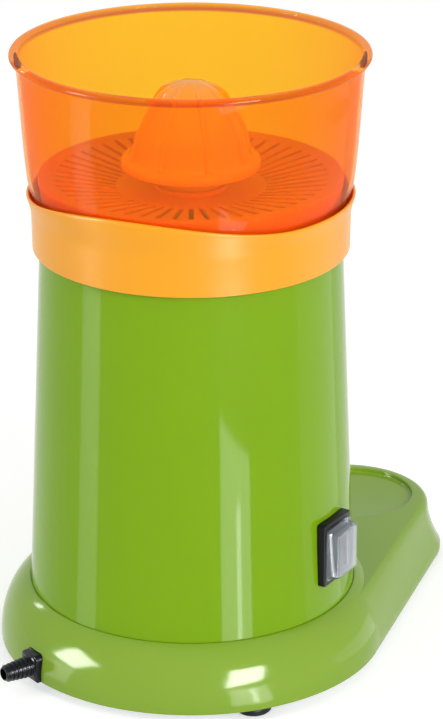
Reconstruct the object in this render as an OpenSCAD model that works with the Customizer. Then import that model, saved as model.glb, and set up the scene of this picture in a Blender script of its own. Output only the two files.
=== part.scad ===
// Electric citrus juicer: a tapered housing on a base with a glass seat, and a lift-off
// collector, bowl, strainer and ribbed reamer on top. The drive axis is vertical, the glass
// seat and the spout point to -Y, and the feet stand on z = 0. Sizes are in millimetres.

/* [Base] */
// How far the base stands out beyond the foot of the housing
base_flare = 17.7; // [14:0.1:24]
// Height of the flat top of the base above the table
base_h = 38; // [34:1:46]
// Height of the lower edge of the base above the table
foot_h = 6; // [4:0.5:9]
// Wall of the base shell
base_wall = 3; // [2:0.5:3.5]
// Clear width between the housing and the glass seat recess
seat_gap = 23.7; // [18:0.1:40]
// Radius of the glass seat recess
recess_r = 36; // [30:0.5:40]
// Depth of the glass seat recess
recess_d = 3; // [1:0.5:4]
// Width of the flat top round the recess
seat_rim = 11; // [9:0.5:16]
// Width of the slope from the flat top down to the lower edge of the base, at the seat
seat_slope = 10.5; // [7:0.5:16]

/* [Feet] */
// Radius of a rubber foot
foot_r = 10; // [8:0.5:12]
// Distance of a foot from the outer edge of the base
foot_margin = 3; // [2.5:0.5:6]
// Half the angle between the two rear feet, seen from the drive axis
rear_foot_angle = 60; // [45:1:70]
// Half the angle between the two front feet, seen from the end of the base
front_foot_angle = 50; // [35:1:60]

/* [Housing] */
// Outer radius of the housing at its foot
housing_r = 92.3; // [84:0.1:100]
// How much narrower the housing is at its deck than at its foot
housing_taper = 9; // [5:0.5:14]
// Height of the housing from its foot to its deck
housing_h = 205; // [185:0.5:235]
// Wall of the housing
housing_wall = 3; // [2:0.25:4]
// Height of the hub that stands on the deck round the shaft
hub_h = 12; // [10:0.5:13]

/* [Collector] */
// Wall of the collar's skirt
collar_wall = 2.6; // [2:0.1:3]
// How far the skirt hangs below the deck of the housing
skirt_drop = 6.3; // [4:0.1:16]
// Height of the collector from the deck to the bowl's seat
pan_h = 15.7; // [14:0.1:20]
// Width of the ledge between the juice pan and the outside of the collar
ledge_w = 11.4; // [9:0.1:14]
// Height of the collar's lip above the bowl's seat, where it is lowest
lip_h = 9.6; // [7:0.1:13]
// Extra height of the lip at the top of its wave
wave_h = 10; // [4:0.5:14]
// How far the spout reaches out of the collar
spout_len = 34.6; // [28:0.1:42]
// Width of the spout
spout_w = 21; // [16:0.5:26]

/* [Bowl] */
// How far the bowl's rim stands out beyond the collar
bowl_flare = 10.3; // [8:0.1:14]
// Height of the bowl
bowl_h = 88; // [76:1:110]
// Wall of the bowl
bowl_wall = 2; // [1.6:0.1:3]
// Height of the bead round the rim
bead_h = 3.6; // [2:0.1:6]

/* [Strainer] */
// Clear width between the strainer's rim and the bowl
strainer_gap = 3.8; // [1.5:0.1:5]
// Height of the strainer from its seat to its rim
strainer_h = 15.9; // [13:0.1:18]
// Thickness of the strainer
strainer_t = 2; // [1.5:0.1:2.6]
// Number of slots in the strainer
slot_count = 52; // [36:1:60]
// Width of a slot
slot_w = 2.7; // [1.5:0.1:3]

/* [Reamer] */
// Radius of the reamer at its flange
reamer_r = 38.5; // [34:0.5:44]
// Height of the reamer from its flange to its tip
reamer_h = 48.5; // [40:0.5:60]
// Number of ribs on the reamer
rib_count = 8; // [6:1:10]
// Height of a rib above the cone
rib_h = 1.4; // [0.8:0.1:2.4]
// Width of a rib at its foot
rib_w = 2.8; // [2:0.1:5]
// Wall of the boss under the reamer, round the drive hub
boss_wall = 4.2; // [3.5:0.1:5]

/* [Drive] */
// Radius of the spindle
spindle_r = 6; // [5:0.1:7]
// Wall of the drive hub round the hexagon end of the spindle
drive_hub_wall = 5.1; // [4:0.1:6]
// Outer radius of the stator core
stator_r = 52; // [46:0.5:58]
// Height of the stator core
stator_h = 60; // [50:1:70]
// Radius of the rotor
rotor_r = 25.6; // [22:0.1:29]
// Radius of the cooling fan
fan_r = 40; // [34:0.5:46]
// Number of blades on the cooling fan
blade_count = 9; // [5:1:11]

/* [Switch and cable gland] */
// Height of the middle of the switch above the foot of the housing
switch_h = 36.5; // [30:0.5:80]
// Direction of the switch round the housing
switch_angle = -171.6; // [-175:0.1:-150]
// Width of the switch bezel
bezel_w = 28.5; // [25:0.5:32]
// Height of the switch bezel
bezel_h = 37; // [32:0.5:42]
// How far the splash cover stands out from the bezel
cover_d = 6.8; // [5:0.1:9]
// Direction of the cable gland round the base
gland_angle = 76; // [70:0.1:110]
// Width of the cable gland's flange
gland_w = 14.8; // [14:0.1:24]
// Length of the ribbed bend relief
relief_len = 17; // [14:0.5:40]
// Radius of the cable bore in the gland
cable_r = 3.2; // [2.5:0.1:3.4]

/* [Hidden] */
$fn = 96;

// Shared clearances, small roundings and cuts
eps = 0.5;
gap = 0.3;
run_gap = 0.05;
fit_gap = 0.02;
hole_gap = 0.2;
slide_gap = 1;
chamfer = 1;

// Levels of the base: the edge, the shoulder and the raised ring that carries the housing
edge_h = 2;
ring_step = 1;
foot_ring_h = 3;
base_r = housing_r + base_flare;
ring_r = housing_r + ring_step;
seam_z = base_h + foot_ring_h;
shoulder_z = foot_h + edge_h;
shoulder_share = 1.317;
shoulder_w = (base_flare - ring_step) * shoulder_share;
shoulder_r = base_r - shoulder_w;
shoulder_h = (seam_z - shoulder_z) / sqrt(1 - pow((ring_r - shoulder_r) / shoulder_w, 2));
top_angle = asin((base_h - shoulder_z) / shoulder_h);
top_edge = 1.5;
flare_power = 2;
base_steps = 7;

// The end of the base: the recess sits a little beyond the centre that the end is drawn round
recess_shift = 6;
recess_reach = housing_r + seat_gap + recess_r;
seat_reach = recess_reach - recess_shift;
seat_top_r = recess_r + seat_rim;
seat_end_r = seat_top_r + seat_slope;

// Screws that hold the housing down on the base
housing_boss_r = 5;
housing_boss_h = 20;
housing_rib_w = 4;
boss_inset = 5.3;
ring_margin = 4;
housing_screw_r = housing_r - housing_wall - housing_boss_r - boss_inset;
opening_r = housing_screw_r - housing_boss_r - ring_margin;
spigot_h = 4.5;
spigot_w = 2;

// Bottom plate, feet and their screws
plate_z = foot_h + eps;
plate_t = 2;
plate_top = plate_z + plate_t;
plate_gap = 0.4;
vent_w = 4;
vent_len = 26;
vent_pitch = 8;
vent_side = 6;
screw_r = 2;
screw_head_r = 3.6;
screw_head_h = 2.4;
foot_boss_r = 3.6;
foot_round = 1;
foot_recess = 3;
foot_inset = foot_r + foot_margin;
rear_feet = [for (s = [-1, 1]) spot(base_r - foot_inset, 90 + s * rear_foot_angle)];
front_feet = [for (s = [-1, 1]) spot(seat_end_r - foot_inset, -90 + s * front_foot_angle) - [0, seat_reach]];
foot_seats = concat(rear_feet, front_feet);
grip_share = 0.4;
front_boss_share = 0.54;
rear_boss_share = 0.8;
screw_grip = (base_h - plate_top) * grip_share;

// Housing levels
deck_z = seam_z + housing_h;
deck_t = 3.5;
deck_edge = 4;
deck_steps = 6;
seal_w = 3;
hub_wall = 3.5;
seal_r = spindle_r + seal_w;
hub_r = seal_r + hub_wall;
seal_lip = 1.4;
seal_h = 5;
seal_depth = 6;
shaft_hole_r = spindle_r + 1.5 * slide_gap;
hub_top = deck_z + hub_h;
housing_top_r = housing_r - housing_taper;
hexagon_share = 0.9;
hexagon_r = spindle_r * hexagon_share;
drive_hub_r = hexagon_r + drive_hub_wall;

// Collector levels
collar_gap = 1.5;
collar_r = housing_top_r + collar_gap + collar_wall;
pan_r = collar_r - ledge_w;
pan_z = deck_z + gap;
pan_floor = 2.5;
pan_wall = 2.5;
pan_fall = 2.5;
ledge_t = 2.7;
seat_z = deck_z + pan_h;
skirt_z = deck_z - skirt_drop;
skirt_round = 0.8;
skirt_draft = 0.2;
lip_wall = 1.8;
lip_gap = 0.8;
lip_steps = 8;
lip_top = lip_h + wave_h;
wave_half_angle = 66;
wave_angle = 106.5;
wave_steps = 72;
chimney_bore = max(hub_r, drive_hub_r + slide_gap) + slide_gap;
chimney_r = chimney_bore + pan_floor;
chimney_h = 4.3;
chimney_top = seat_z + chimney_h;
spout_wall = 2.2;
spout_fall = 9;
spout_inlet = 6;
spout_reach = collar_r + spout_len;
spout_root = collar_r - collar_wall * 0.7;
spout_angle = atan(spout_fall / spout_len);
spout_top = seat_z - ledge_t;
spout_z = pan_z + pan_floor - spout_wall / 4 + spout_w / 2 - spout_wall;

// Bowl outline, as [share of its height, share of the way from its foot's radius to its rim's]
bowl_shares = [[0, 0], [0.023, 0.043], [0.068, 0.143], [0.125, 0.271], [0.182, 0.364], [0.261, 0.429],
    [0.409, 0.514], [0.636, 0.614], [0.875, 0.714]];
bowl_inset = 3.4;
flange_step = 1;
bowl_r = collar_r + bowl_flare;
bowl_foot_r = collar_r - bowl_inset;
bowl_z = seat_z + gap;
bowl_top = bowl_z + bowl_h;
bowl_flange_r = pan_r - flange_step;
bead_round = 1.2;
neck_share = 0.3;

// Strainer levels
strainer_z = bowl_z + bowl_wall + gap;
strainer_top = strainer_z + strainer_h;
strainer_r = bowl_r_at(strainer_top) - bowl_wall - strainer_gap;
strainer_skirt_r = bowl_r_at(bowl_z + bowl_wall) - bowl_wall - slide_gap;
strainer_dish = 6.5;
strainer_rim = 2.5;
strainer_step = 1;
strainer_sink = 0.5;
slot_margin = 8.5;
slot_gap = 2.5;
slot_out_r = strainer_r - slot_margin;
slot_in_r = reamer_r + slot_gap;
slot_angle = 130;
collar_ring_w = 1.8;
collar_ring_h = 2;
boss_gap = 1.2;

// Reamer levels, and its outline as [share of its height, share of its radius]
reamer_gap = 4;
reamer_z = strainer_top + reamer_gap;
reamer_top = reamer_z + reamer_h;
reamer_shares = [[0, 0.97], [0.015, 0.995], [0.03, 1], [0.09, 0.99], [0.11, 0.975], [0.125, 0.86],
    [0.16, 0.83], [0.26, 0.795], [0.36, 0.765], [0.42, 0.745], [0.49, 0.705], [0.62, 0.62], [0.7, 0.56],
    [0.8, 0.485], [0.88, 0.41], [0.94, 0.29], [0.985, 0.14]];
// Direction of one rib, height of the ribs up the reamer, and a crest's width, as shares
rib_angle = 11;
rib_fade_shares = [[0, 0], [0.115, 0], [0.13, 1], [0.9, 1], [0.985, 0.6]];
crest_share = 0.6;
flat_steps = 4;
cavity_shares = [[0, 0.86], [0.26, 0.66], [0.45, 0.5]];
tip_r = 0.5;
reamer_wall = 3;
boss_step = 2;
boss_z = chimney_top + boss_step;
spline_w = 4;
spline_h = 2;
boss_r = drive_hub_r + spline_h + gap + boss_wall;

// Drive levels, from the hub down to the fan
hub_seat_gap = 4.3;
hub_seat_z = hub_top + hub_seat_gap;
hexagon_rise = 6;
hexagon_top = reamer_z + hexagon_rise;
hub_cap = 3;
hub_cap_z = hexagon_top + 2 * gap;
drive_hub_top = hub_cap_z + hub_cap;
slinger_w = 4.5;
slinger_r = spindle_r + slinger_w;
slinger_h = 2;
mount_boss_h = 12;
mount_boss_r = 5.5;
mount_gap = 6;
mount_r = stator_r + mount_gap;
bracket_t = 5;
bracket_wall = 3.6;
bracket_skirt = 25;
bracket_frame = 5;
bearing_w = 8;
bearing_r = spindle_r + bearing_w;
bearing_h = 8;
bearing_land = 2.4;
bearing_cup = 3.5;
bearing_seat = 3;
bracket_z = deck_z - deck_t - mount_boss_h - bracket_t;
stator_top = bracket_z - bracket_skirt;
stator_z = stator_top - stator_h;
lower_bracket_z = stator_z - bracket_skirt - bracket_t;
stator_bore = rotor_r + eps;
tie_margin = 1.4;
tie_r = stator_r - bracket_wall - screw_r - tie_margin;
end_ring_h = 6;
end_ring_step = 1.5;
winding_h = 13;
winding_gap = 2;
winding_round = 3;
fan_drop = 5;
fan_h = 13;
fan_z = lower_bracket_z - fan_drop - fan_h;
fan_disc = 2;
fan_hub_w = 6;
fan_hub_r = spindle_r + fan_hub_w;
blade_t = 1.8;
spindle_end = 2;
spindle_z = fan_z - spindle_end;

// Capacitor, terminal block and leads on the bottom plate
capacitor_r = 17.5;
capacitor_share = 0.74;
capacitor_h = (fan_z - plate_top) * capacitor_share;
capacitor_x = -18;
capacitor_y = 38;
capacitor_edge = 1;
capacitor_lid = 2;
capacitor_pin_r = 5;
capacitor_pin_h = 4;
clip_t = 1.6;
clip_h = 12;
clip_foot = 12;
clip_gap = 0.1;
block_w = 44;
block_d = 18;
block_h = 14;
block_x = 8;
block_y = -38;
pole_count = 4;
pole_pitch = 10;
pole_r = 2.2;
pole_depth = 6;
pole_shares = [0.25, 0.75];
pole_step = 1.5;
slit_w = 0.8;
slit_d = 1;
wire_share = 0.8;
wire_z = block_h / 3;
lead_count = 3;
lead_r = 1.2;
lead_grip = 5;
lead_ring = 1.7;

// Switch, in its own frame: x out of the housing, z up
switch_z = seam_z + switch_h;
bezel_d = 3.6;
bezel_back = pow(bezel_w / 2, 2) / (2 * housing_r) + hole_gap;
bezel_edge = 1.5;
bezel_frame = 3.6;
bezel_frame_h = 5.4;
pocket_d = bezel_back + gap;
window_w = bezel_w - 2 * bezel_frame;
window_h = bezel_h - 2 * bezel_frame_h;
sleeve_t = 1;
sleeve_d = 4.5;
body_d = 20;
blade_len = 8;
blade_w = 6;
blade_thin = 0.8;
cover_t = 1.2;
cover_flange = 1;
cover_draft = 1;
rocker_gap = 0.9;
rocker_w = window_w - 2 * rocker_gap;
rocker_h = window_h - 2 * rocker_gap;
rocker_d = 3.6;
rocker_crown = 2;
rocker_back = 1;
rocker_belly = 0.6;
rocker_tilt = 7;
pivot_r = 1.1;
pivot_len = 0.7;
pivot_gap = 0.1;
pivot_x = 0.4;

// Cable gland, in its own frame: x out of the base, z up
gland_top_z = 22;
gland_round = 3;
gland_out = 2.5;
gland_foot_z = foot_h + gap;
gland_face = base_r + gland_out;
gland_root = base_r - base_wall + 2 * run_gap;
gland_neck_z = plate_top + eps;
gland_depth = 7;
gland_grip_side = 4;
gland_grip_d = 3.7;
gland_grip_gap = 0.2;
gland_grip_drop = 5;
gland_grip_w = gland_w + 2 * gland_grip_side;
gland_grip_x = base_r - base_wall - slide_gap - gland_grip_gap - gland_grip_d / 2;
gland_grip_top = gland_top_z - gland_grip_drop;
gland_z = (gland_foot_z + gland_top_z) / 2;
relief_root_r = 6.2;
relief_tip_r = 4.8;
relief_rings = 6;
relief_ring_h = 0.8;
relief_start = 0.4;
relief_end = 0.9;
clamp_t = 4;
clamp_w = 16;

// The whole object is centred over the origin between the base end and the gland's tip
gland_reach = gland_face + relief_len;
back_reach = max(base_r, gland_reach * sin(gland_angle) + relief_tip_r * abs(cos(gland_angle)));
axis_y = (seat_reach + seat_end_r - back_reach) / 2;

// Functions

function spot(r, a) = r * [cos(a), sin(a)];

function housing_r_at(z) = housing_r - (housing_r - housing_top_r) * (z - seam_z) / housing_h;

function bowl_r_at(z) =
    bowl_foot_r + (bowl_r - bowl_foot_r) * lookup((z - bowl_z) / bowl_h, bowl_shares);

function wave(a) =
    let (d = abs((a - wave_angle + 540) % 360 - 180))
    d < wave_half_angle ? wave_h * pow(cos(90 * d / wave_half_angle), 2) : 0;

function arc(x, y, r, from, to, steps) =
    [for (i = [0:steps]) let (a = from + (to - from) * i / steps) [x + r * cos(a), y + r * sin(a)]];

// Outline of two circles, the second one seat_reach away towards -Y, joined by their tangents
function twin_outline(r1, r2, n1 = 44, n2 = 20) =
    let (t = acos((r1 - r2) / seat_reach))
    concat(
        [for (i = [0:n1]) spot(r1, -90 + t + (360 - 2 * t) * i / n1)],
        [for (i = [0:n2]) spot(r2, -90 - t + 2 * t * i / n2) - [0, seat_reach]]);

// Levels of the base outline as [height, round radius, end radius], with a wall taken off
function base_levels(wall, steps) = concat(
    [[foot_h, base_r - wall, seat_end_r - wall]],
    [for (i = [0:steps])
        let (s = i / steps, a = top_angle * s, u = sin(a) / sin(top_angle))
        [shoulder_z + (base_h - wall - shoulder_z) * u,
            shoulder_r + (shoulder_w - wall) * cos(a),
            seat_top_r - wall + (seat_end_r - seat_top_r) * pow(1 - u, flare_power)
                - (i == steps ? top_edge : 0)]]);

// Helpers

module on_axis() {
    translate([0, axis_y, 0]) children();
}

// A closed solid through a list of outlines, one above the other
module loft(outlines, heights) {
    n = len(outlines[0]);
    m = len(outlines);
    points = [for (j = [0:m - 1]) for (p = outlines[j]) [p.x, p.y, heights[j]]];
    sides = [for (j = [0:m - 2]) for (i = [0:n - 1])
        let (k = (i + 1) % n)
        for (face = [[j * n + i, (j + 1) * n + i, (j + 1) * n + k], [j * n + i, (j + 1) * n + k, j * n + k]])
        face];
    caps = [[for (i = [0:n - 1]) i], [for (i = [n - 1:-1:0]) (m - 1) * n + i]];
    polyhedron(points, concat(sides, caps), convexity = 4);
}

module base_form(wall, steps, drop = 0) {
    levels = base_levels(wall, steps);
    loft([for (l = levels) twin_outline(l[1], l[2])],
        [for (i = [0:len(levels) - 1]) levels[i][0] - (i == 0 ? drop : 0)]);
}

module ring(inner, outer, h) {
    difference() {
        cylinder(r = outer, h = h);
        translate([0, 0, -eps]) cylinder(r = inner, h = h + 2 * eps);
    }
}

module around(count, r, start = 0) {
    for (i = [0:count - 1]) rotate(start + 360 * i / count) translate([r, 0, 0]) children();
}

// A round rod from one point to another
module rod(p, q, r) {
    d = q - p;
    translate(p) rotate([0, acos(d.z / norm(d)), atan2(d.y, d.x)]) cylinder(r = r, h = norm(d), $fn = 24);
}

// A plate that lies in the y-z plane with rounded corners, from x = 0 outwards
module rounded_plate(w, h, d, r) {
    rotate([90, 0, 90]) linear_extrude(d) {
        square([w - 2 * r, h], center = true);
        square([w, h - 2 * r], center = true);
        for (x = [-1, 1], y = [-1, 1]) translate([x * (w / 2 - r), y * (h / 2 - r)]) circle(r, $fn = 32);
    }
}

module at_switch() {
    on_axis() rotate(switch_angle) translate([housing_r_at(switch_z), 0, switch_z]) children();
}

module at_gland() {
    on_axis() rotate(gland_angle) translate([0, 0, gland_z]) children();
}

// Screws: the shank points up, and the head is below z = 0
module screw(len, r = screw_r, head_r = screw_head_r, head_h = screw_head_h) {
    cylinder(r = r - run_gap, h = len, $fn = 32);
    difference() {
        translate([0, 0, -head_h]) cylinder(r = head_r, h = head_h, $fn = 32);
        translate([0, 0, -head_h - eps]) cylinder(r = r * 0.8, h = head_h / 2 + eps, $fn = 6);
    }
}

// Base

module base_shell() {
    rear_h = (base_h - plate_top) * rear_boss_share;
    front_h = (base_h - plate_top) * front_boss_share;
    color([0.52, 0.7, 0.14]) on_axis() difference() {
        union() {
            difference() {
                base_form(0, base_steps);
                base_form(base_wall, base_steps - 3, eps);
            }
            translate([0, -recess_reach, base_h - recess_d - base_wall])
                cylinder(r = recess_r + base_wall, h = recess_d + base_wall - run_gap);
            rotate_extrude() foot_ring_outline();
            for (p = rear_feet) translate([p.x, p.y, plate_top]) cylinder(r = foot_boss_r, h = rear_h, $fn = 32);
            for (p = front_feet) translate([p.x, p.y, plate_top]) cylinder(r = foot_boss_r, h = front_h, $fn = 32);
        }
        translate([0, -recess_reach, base_h - recess_d]) cylinder(r = recess_r, h = recess_d + eps);
        translate([0, 0, base_h - base_wall - eps]) cylinder(r = opening_r, h = base_wall + foot_ring_h + 2 * eps);
        around(4, housing_screw_r, 45) translate([0, 0, base_h - base_wall - eps])
            cylinder(r = screw_r + hole_gap, h = base_wall + foot_ring_h + 2 * eps, $fn = 32);
        for (p = foot_seats) translate([p.x, p.y, plate_top - eps])
            cylinder(r = screw_r, h = screw_grip + eps, $fn = 32);
        rotate(gland_angle) translate([gland_root - gland_depth - slide_gap, 0, gland_z])
            gland_plate(2 * gland_depth, hole_gap, foot_h - eps - gland_z);
    }
}

// The raised ring that carries the housing, and the spigot that centres it
module foot_ring_outline() {
    spigot_r = housing_r - housing_wall - 2 * hole_gap;
    low = base_h - base_wall / 2;
    polygon([[opening_r - eps, low], [shoulder_r, low],
        [shoulder_r + shoulder_w * cos(top_angle) - run_gap, base_h],
        [ring_r, seam_z], [spigot_r, seam_z], [spigot_r, seam_z + spigot_h],
        [spigot_r - spigot_w, seam_z + spigot_h], [spigot_r - spigot_w, seam_z], [opening_r - eps, seam_z]]);
}

module bottom_plate() {
    plate_r = base_r - base_wall - plate_gap;
    color([0.62, 0.63, 0.64]) on_axis() difference() {
        translate([0, 0, plate_z]) linear_extrude(plate_t)
            polygon(twin_outline(plate_r, seat_end_r - base_wall - plate_gap));
        for (p = foot_seats) translate([p.x, p.y, plate_z - eps])
            cylinder(r = screw_r + hole_gap, h = plate_t + 2 * eps, $fn = 32);
        for (i = [-vent_side:vent_side])
            translate([i * vent_pitch - vent_w / 2, -vent_len / 2, plate_z - eps])
                cube([vent_w, vent_len, plate_t + 2 * eps]);
    }
}

module rubber_feet() {
    color([0.1, 0.1, 0.11]) on_axis() for (p = foot_seats) translate([p.x, p.y, 0]) rotate_extrude($fn = 48)
        polygon([[screw_head_r + hole_gap, 0], [foot_r - foot_round, 0], [foot_r, foot_round],
            [foot_r, plate_z / 2], [foot_r - foot_round, plate_z], [screw_r + hole_gap, plate_z],
            [screw_r + hole_gap, foot_recess], [screw_head_r + hole_gap, foot_recess]]);
}

module foot_screws() {
    color([0.75, 0.76, 0.78]) on_axis() for (p = foot_seats) translate([p.x, p.y, foot_recess])
        screw(plate_top - foot_recess + screw_grip - eps);
}

// Housing

module motor_housing() {
    color([0.5, 0.7, 0.1]) on_axis() difference() {
        union() {
            rotate_extrude() polygon(concat(
                [[housing_r, seam_z]],
                arc(housing_r_at(deck_z - deck_edge) - deck_edge, deck_z - deck_edge, deck_edge, 0, 90, deck_steps),
                [[hub_r, deck_z], [hub_r, hub_top - chamfer], [hub_r - chamfer, hub_top], [seal_r, hub_top],
                    [seal_r, hub_top - seal_depth], [shaft_hole_r, hub_top - seal_depth],
                    [shaft_hole_r, deck_z - deck_t],
                    [housing_r_at(deck_z - deck_t) - deck_edge, deck_z - deck_t],
                    [housing_r_at(deck_z - 2 * deck_t) - housing_wall, deck_z - 2 * deck_t],
                    [housing_r - housing_wall, seam_z]]));
            around(4, housing_screw_r, 45) {
                translate([0, 0, seam_z]) cylinder(r = housing_boss_r, h = housing_boss_h, $fn = 48);
                translate([0, -housing_rib_w / 2, seam_z + spigot_h + eps])
                    cube([housing_r - housing_wall / 2 - housing_screw_r - chamfer, housing_rib_w,
                        housing_boss_h - spigot_h - eps]);
            }
            around(4, mount_r, 45) translate([0, 0, deck_z - deck_t - mount_boss_h])
                cylinder(r = mount_boss_r, h = mount_boss_h + deck_t / 2, $fn = 48);
        }
        around(4, housing_screw_r, 45) translate([0, 0, seam_z - eps])
            cylinder(r = screw_r, h = screw_grip + eps, $fn = 32);
        around(4, mount_r, 45) translate([0, 0, deck_z - deck_t - mount_boss_h - eps])
            cylinder(r = screw_r, h = mount_boss_h - eps, $fn = 32);
        rotate(switch_angle) translate([housing_r_at(switch_z), 0, switch_z]) {
            translate([-pocket_d, 0, 0])
                rounded_plate(bezel_w + 2 * hole_gap, bezel_h + 2 * hole_gap, bezel_d + pocket_d, bezel_edge);
            translate([-2 * housing_wall - sleeve_t, -window_w / 2 - sleeve_t - hole_gap,
                -window_h / 2 - sleeve_t - hole_gap])
                cube([4 * housing_wall, window_w + 2 * (sleeve_t + hole_gap), window_h + 2 * (sleeve_t + hole_gap)]);
        }
    }
}

module housing_screws() {
    color([0.75, 0.76, 0.78]) on_axis() around(4, housing_screw_r, 45)
        translate([0, 0, base_h - base_wall]) screw(base_wall + foot_ring_h + screw_grip - eps);
}

module shaft_seal() {
    color([0.12, 0.12, 0.13]) on_axis() translate([0, 0, hub_top - seal_depth]) rotate_extrude()
        polygon([[spindle_r + run_gap, seal_h / 2], [spindle_r + run_gap, seal_h * 0.7],
            [seal_r - seal_lip, seal_h], [seal_r - run_gap, seal_h], [seal_r - run_gap, 0], [seal_r - seal_lip, 0]]);
}

// Lift-off stack

module collector() {
    g0 = collar_r + gap - bowl_r_at(bowl_z) - lip_wall;
    function lip_r(s) =
        bowl_r_at(max(bowl_z, seat_z + lip_top * s)) + lip_wall + lip_gap + (g0 - lip_gap) * pow(1 - s, 1.5);
    outer = [for (i = [0:lip_steps]) let (s = i / lip_steps) [lip_r(s), seat_z + lip_top * s]];
    inner = [for (i = [lip_steps:-1:0]) outer[i] - [lip_wall, 0]];
    color([0.98, 0.68, 0.2]) on_axis() difference() {
        union() {
            difference() {
                union() {
                    rotate_extrude() polygon(concat(
                        [[collar_r - collar_wall, skirt_z], [collar_r - skirt_round, skirt_z],
                            [collar_r - skirt_draft, skirt_z + skirt_round], [collar_r, seat_z - ledge_t]],
                        outer, inner,
                        [[pan_r, seat_z], [pan_r, seat_z - ledge_t], [collar_r - collar_wall, seat_z - ledge_t]]));
                    translate([0, 0, pan_z]) cylinder(r = pan_r + pan_wall, h = seat_z - pan_z - ledge_t / 2);
                    translate([-spout_w / 2, -spout_root, pan_z])
                        cube([spout_w, spout_root - pan_r + pan_wall, seat_z - ledge_t / 2 - pan_z]);
                }
                pan_space();
            }
            translate([0, 0, pan_z]) cylinder(r = chimney_r, h = chimney_top - pan_z);
            spout_bar(spout_w, collar_wall, 0);
        }
        translate([0, 0, pan_z - eps]) cylinder(r = chimney_bore, h = chimney_top - pan_z + 2 * eps);
        spout_tunnel(spout_w - 2 * spout_wall);
        spout_bar(spout_w - 2 * spout_wall, 0, eps);
        wave_cut();
    }
}

// The pan's inside, whose floor falls by pan_fall towards the spout
module pan_space() {
    difference() {
        translate([0, 0, pan_z]) cylinder(r = pan_r, h = seat_z - pan_z + eps);
        translate([0, -pan_r, pan_z + pan_floor]) rotate([atan(pan_fall / (2 * pan_r)), 0, 0])
            translate([-2 * pan_r, -pan_r, -2 * pan_r]) cube([4 * pan_r, 4 * pan_r, 2 * pan_r]);
    }
}

// Section of the spout: round below and straight above, up to the underside of the bowl's ledge
module spout_section(w, over) {
    difference() {
        circle(d = w, $fn = 64);
        translate([-w, 0]) square(2 * w);
    }
    translate([-w / 2, 0]) square([w, spout_top - spout_z + over]);
}

// The spout along its fall; back is how far it starts inside the collar's outer face
module spout_bar(w, back, over) {
    translate([0, -collar_r, spout_z]) rotate([90 + spout_angle, 0, 0]) translate([0, 0, -back])
        linear_extrude(spout_len / cos(spout_angle) + back + over) spout_section(w, over);
}

module spout_tunnel(w) {
    translate([0, -pan_r + spout_inlet, spout_z]) rotate([90, 0, 0])
        linear_extrude(collar_r - pan_r + spout_inlet + gap) spout_section(w, 0);
}

// Takes the collar's lip down to its low edge, all but the wave
module wave_cut() {
    n = wave_steps;
    low = seat_z + lip_h;
    high = seat_z + lip_top + eps;
    in_r = bowl_r_at(low) - lip_wall;
    out_r = bowl_r + lip_wall;
    points = [for (i = [0:n - 1]) let (a = 360 * i / n, z = min(low + wave(a), high - 0.8 * eps))
        for (q = [[in_r, z], [out_r, z], [out_r, high], [in_r, high]]) [q[0] * cos(a), q[0] * sin(a), q[1]]];
    faces = [for (i = [0:n - 1]) for (c = [0:3])
        let (a = 4 * i + c, b = 4 * i + (c + 1) % 4, d = 4 * ((i + 1) % n) + c, e = 4 * ((i + 1) % n) + (c + 1) % 4)
        for (f = [[a, b, e], [a, e, d]]) f];
    polyhedron(points, faces, convexity = 4);
}

module bowl() {
    outer = [for (s = bowl_shares) [bowl_foot_r + (bowl_r - bowl_foot_r) * s[1], bowl_z + bowl_h * s[0]]];
    last = outer[len(outer) - 1];
    neck = last.x + (last.x - outer[len(outer) - 2].x) * neck_share;
    inner = [for (i = [len(outer) - 1:-1:1]) [outer[i].x - bowl_wall, max(outer[i].y, bowl_z + bowl_wall)]];
    color([1, 0.5, 0.1, 0.5]) on_axis() rotate_extrude() polygon(concat(
        [[bowl_flange_r, bowl_z]], outer,
        [[neck, bowl_top - bead_h], [bowl_r - bead_round, bowl_top - bead_h], [bowl_r, bowl_top - bead_h + bead_round],
            [bowl_r, bowl_top - bead_round], [bowl_r - bead_round, bowl_top], [neck - bowl_wall + bead_round, bowl_top],
            [neck - bowl_wall, bowl_top - bead_round]],
        inner,
        [[bowl_flange_r, bowl_z + bowl_wall]]));
}

module strainer() {
    hole_r = boss_r + boss_gap;
    in_r = hole_r + collar_ring_w;
    dish_z = strainer_top - strainer_dish;
    color([0.98, 0.5, 0.12]) on_axis() difference() {
        rotate_extrude() polygon([
            [strainer_skirt_r - strainer_t, strainer_z], [strainer_skirt_r, strainer_z],
            [strainer_r, strainer_top - strainer_t],
            [strainer_r, strainer_top - strainer_t / 4], [strainer_r - strainer_t / 4, strainer_top],
            [strainer_r - strainer_rim, strainer_top],
            [slot_out_r, strainer_top - strainer_step], [slot_in_r, dish_z],
            [in_r, dish_z - strainer_sink], [in_r, dish_z - strainer_sink + collar_ring_h],
            [hole_r, dish_z - strainer_sink + collar_ring_h],
            [hole_r, dish_z - strainer_sink - strainer_t], [slot_in_r, dish_z - strainer_t],
            [slot_out_r, strainer_top - strainer_step - strainer_t],
            [strainer_r - strainer_rim - strainer_t / 4, strainer_top - strainer_t - strainer_step]]);
        around(slot_count, slot_in_r, slot_angle) translate([0, -slot_w / 2, strainer_z])
            cube([slot_out_r - slot_in_r, slot_w, strainer_h + eps]);
    }
}

// Outline of the cone at radius r, with ribs that stand out by h
function ribbed_ring(r, h) =
    let (foot = rib_half_angle(r, 1), crest = rib_half_angle(r, crest_share), pitch = 360 / rib_count)
    [for (i = [0:rib_count - 1])
        for (q = concat([[-crest, h], [crest, h]],
            [for (k = [0:flat_steps]) [foot + (pitch - 2 * foot) * k / flat_steps, 0]]))
            spot(r + q[1], rib_angle + i * pitch + q[0])];

// Half the angle that a rib takes up at radius r; share is 1 at its foot
function rib_half_angle(r, share) = share * min(asin(min(1, rib_w / (2 * r))), 0.3 * 360 / rib_count);

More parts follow.
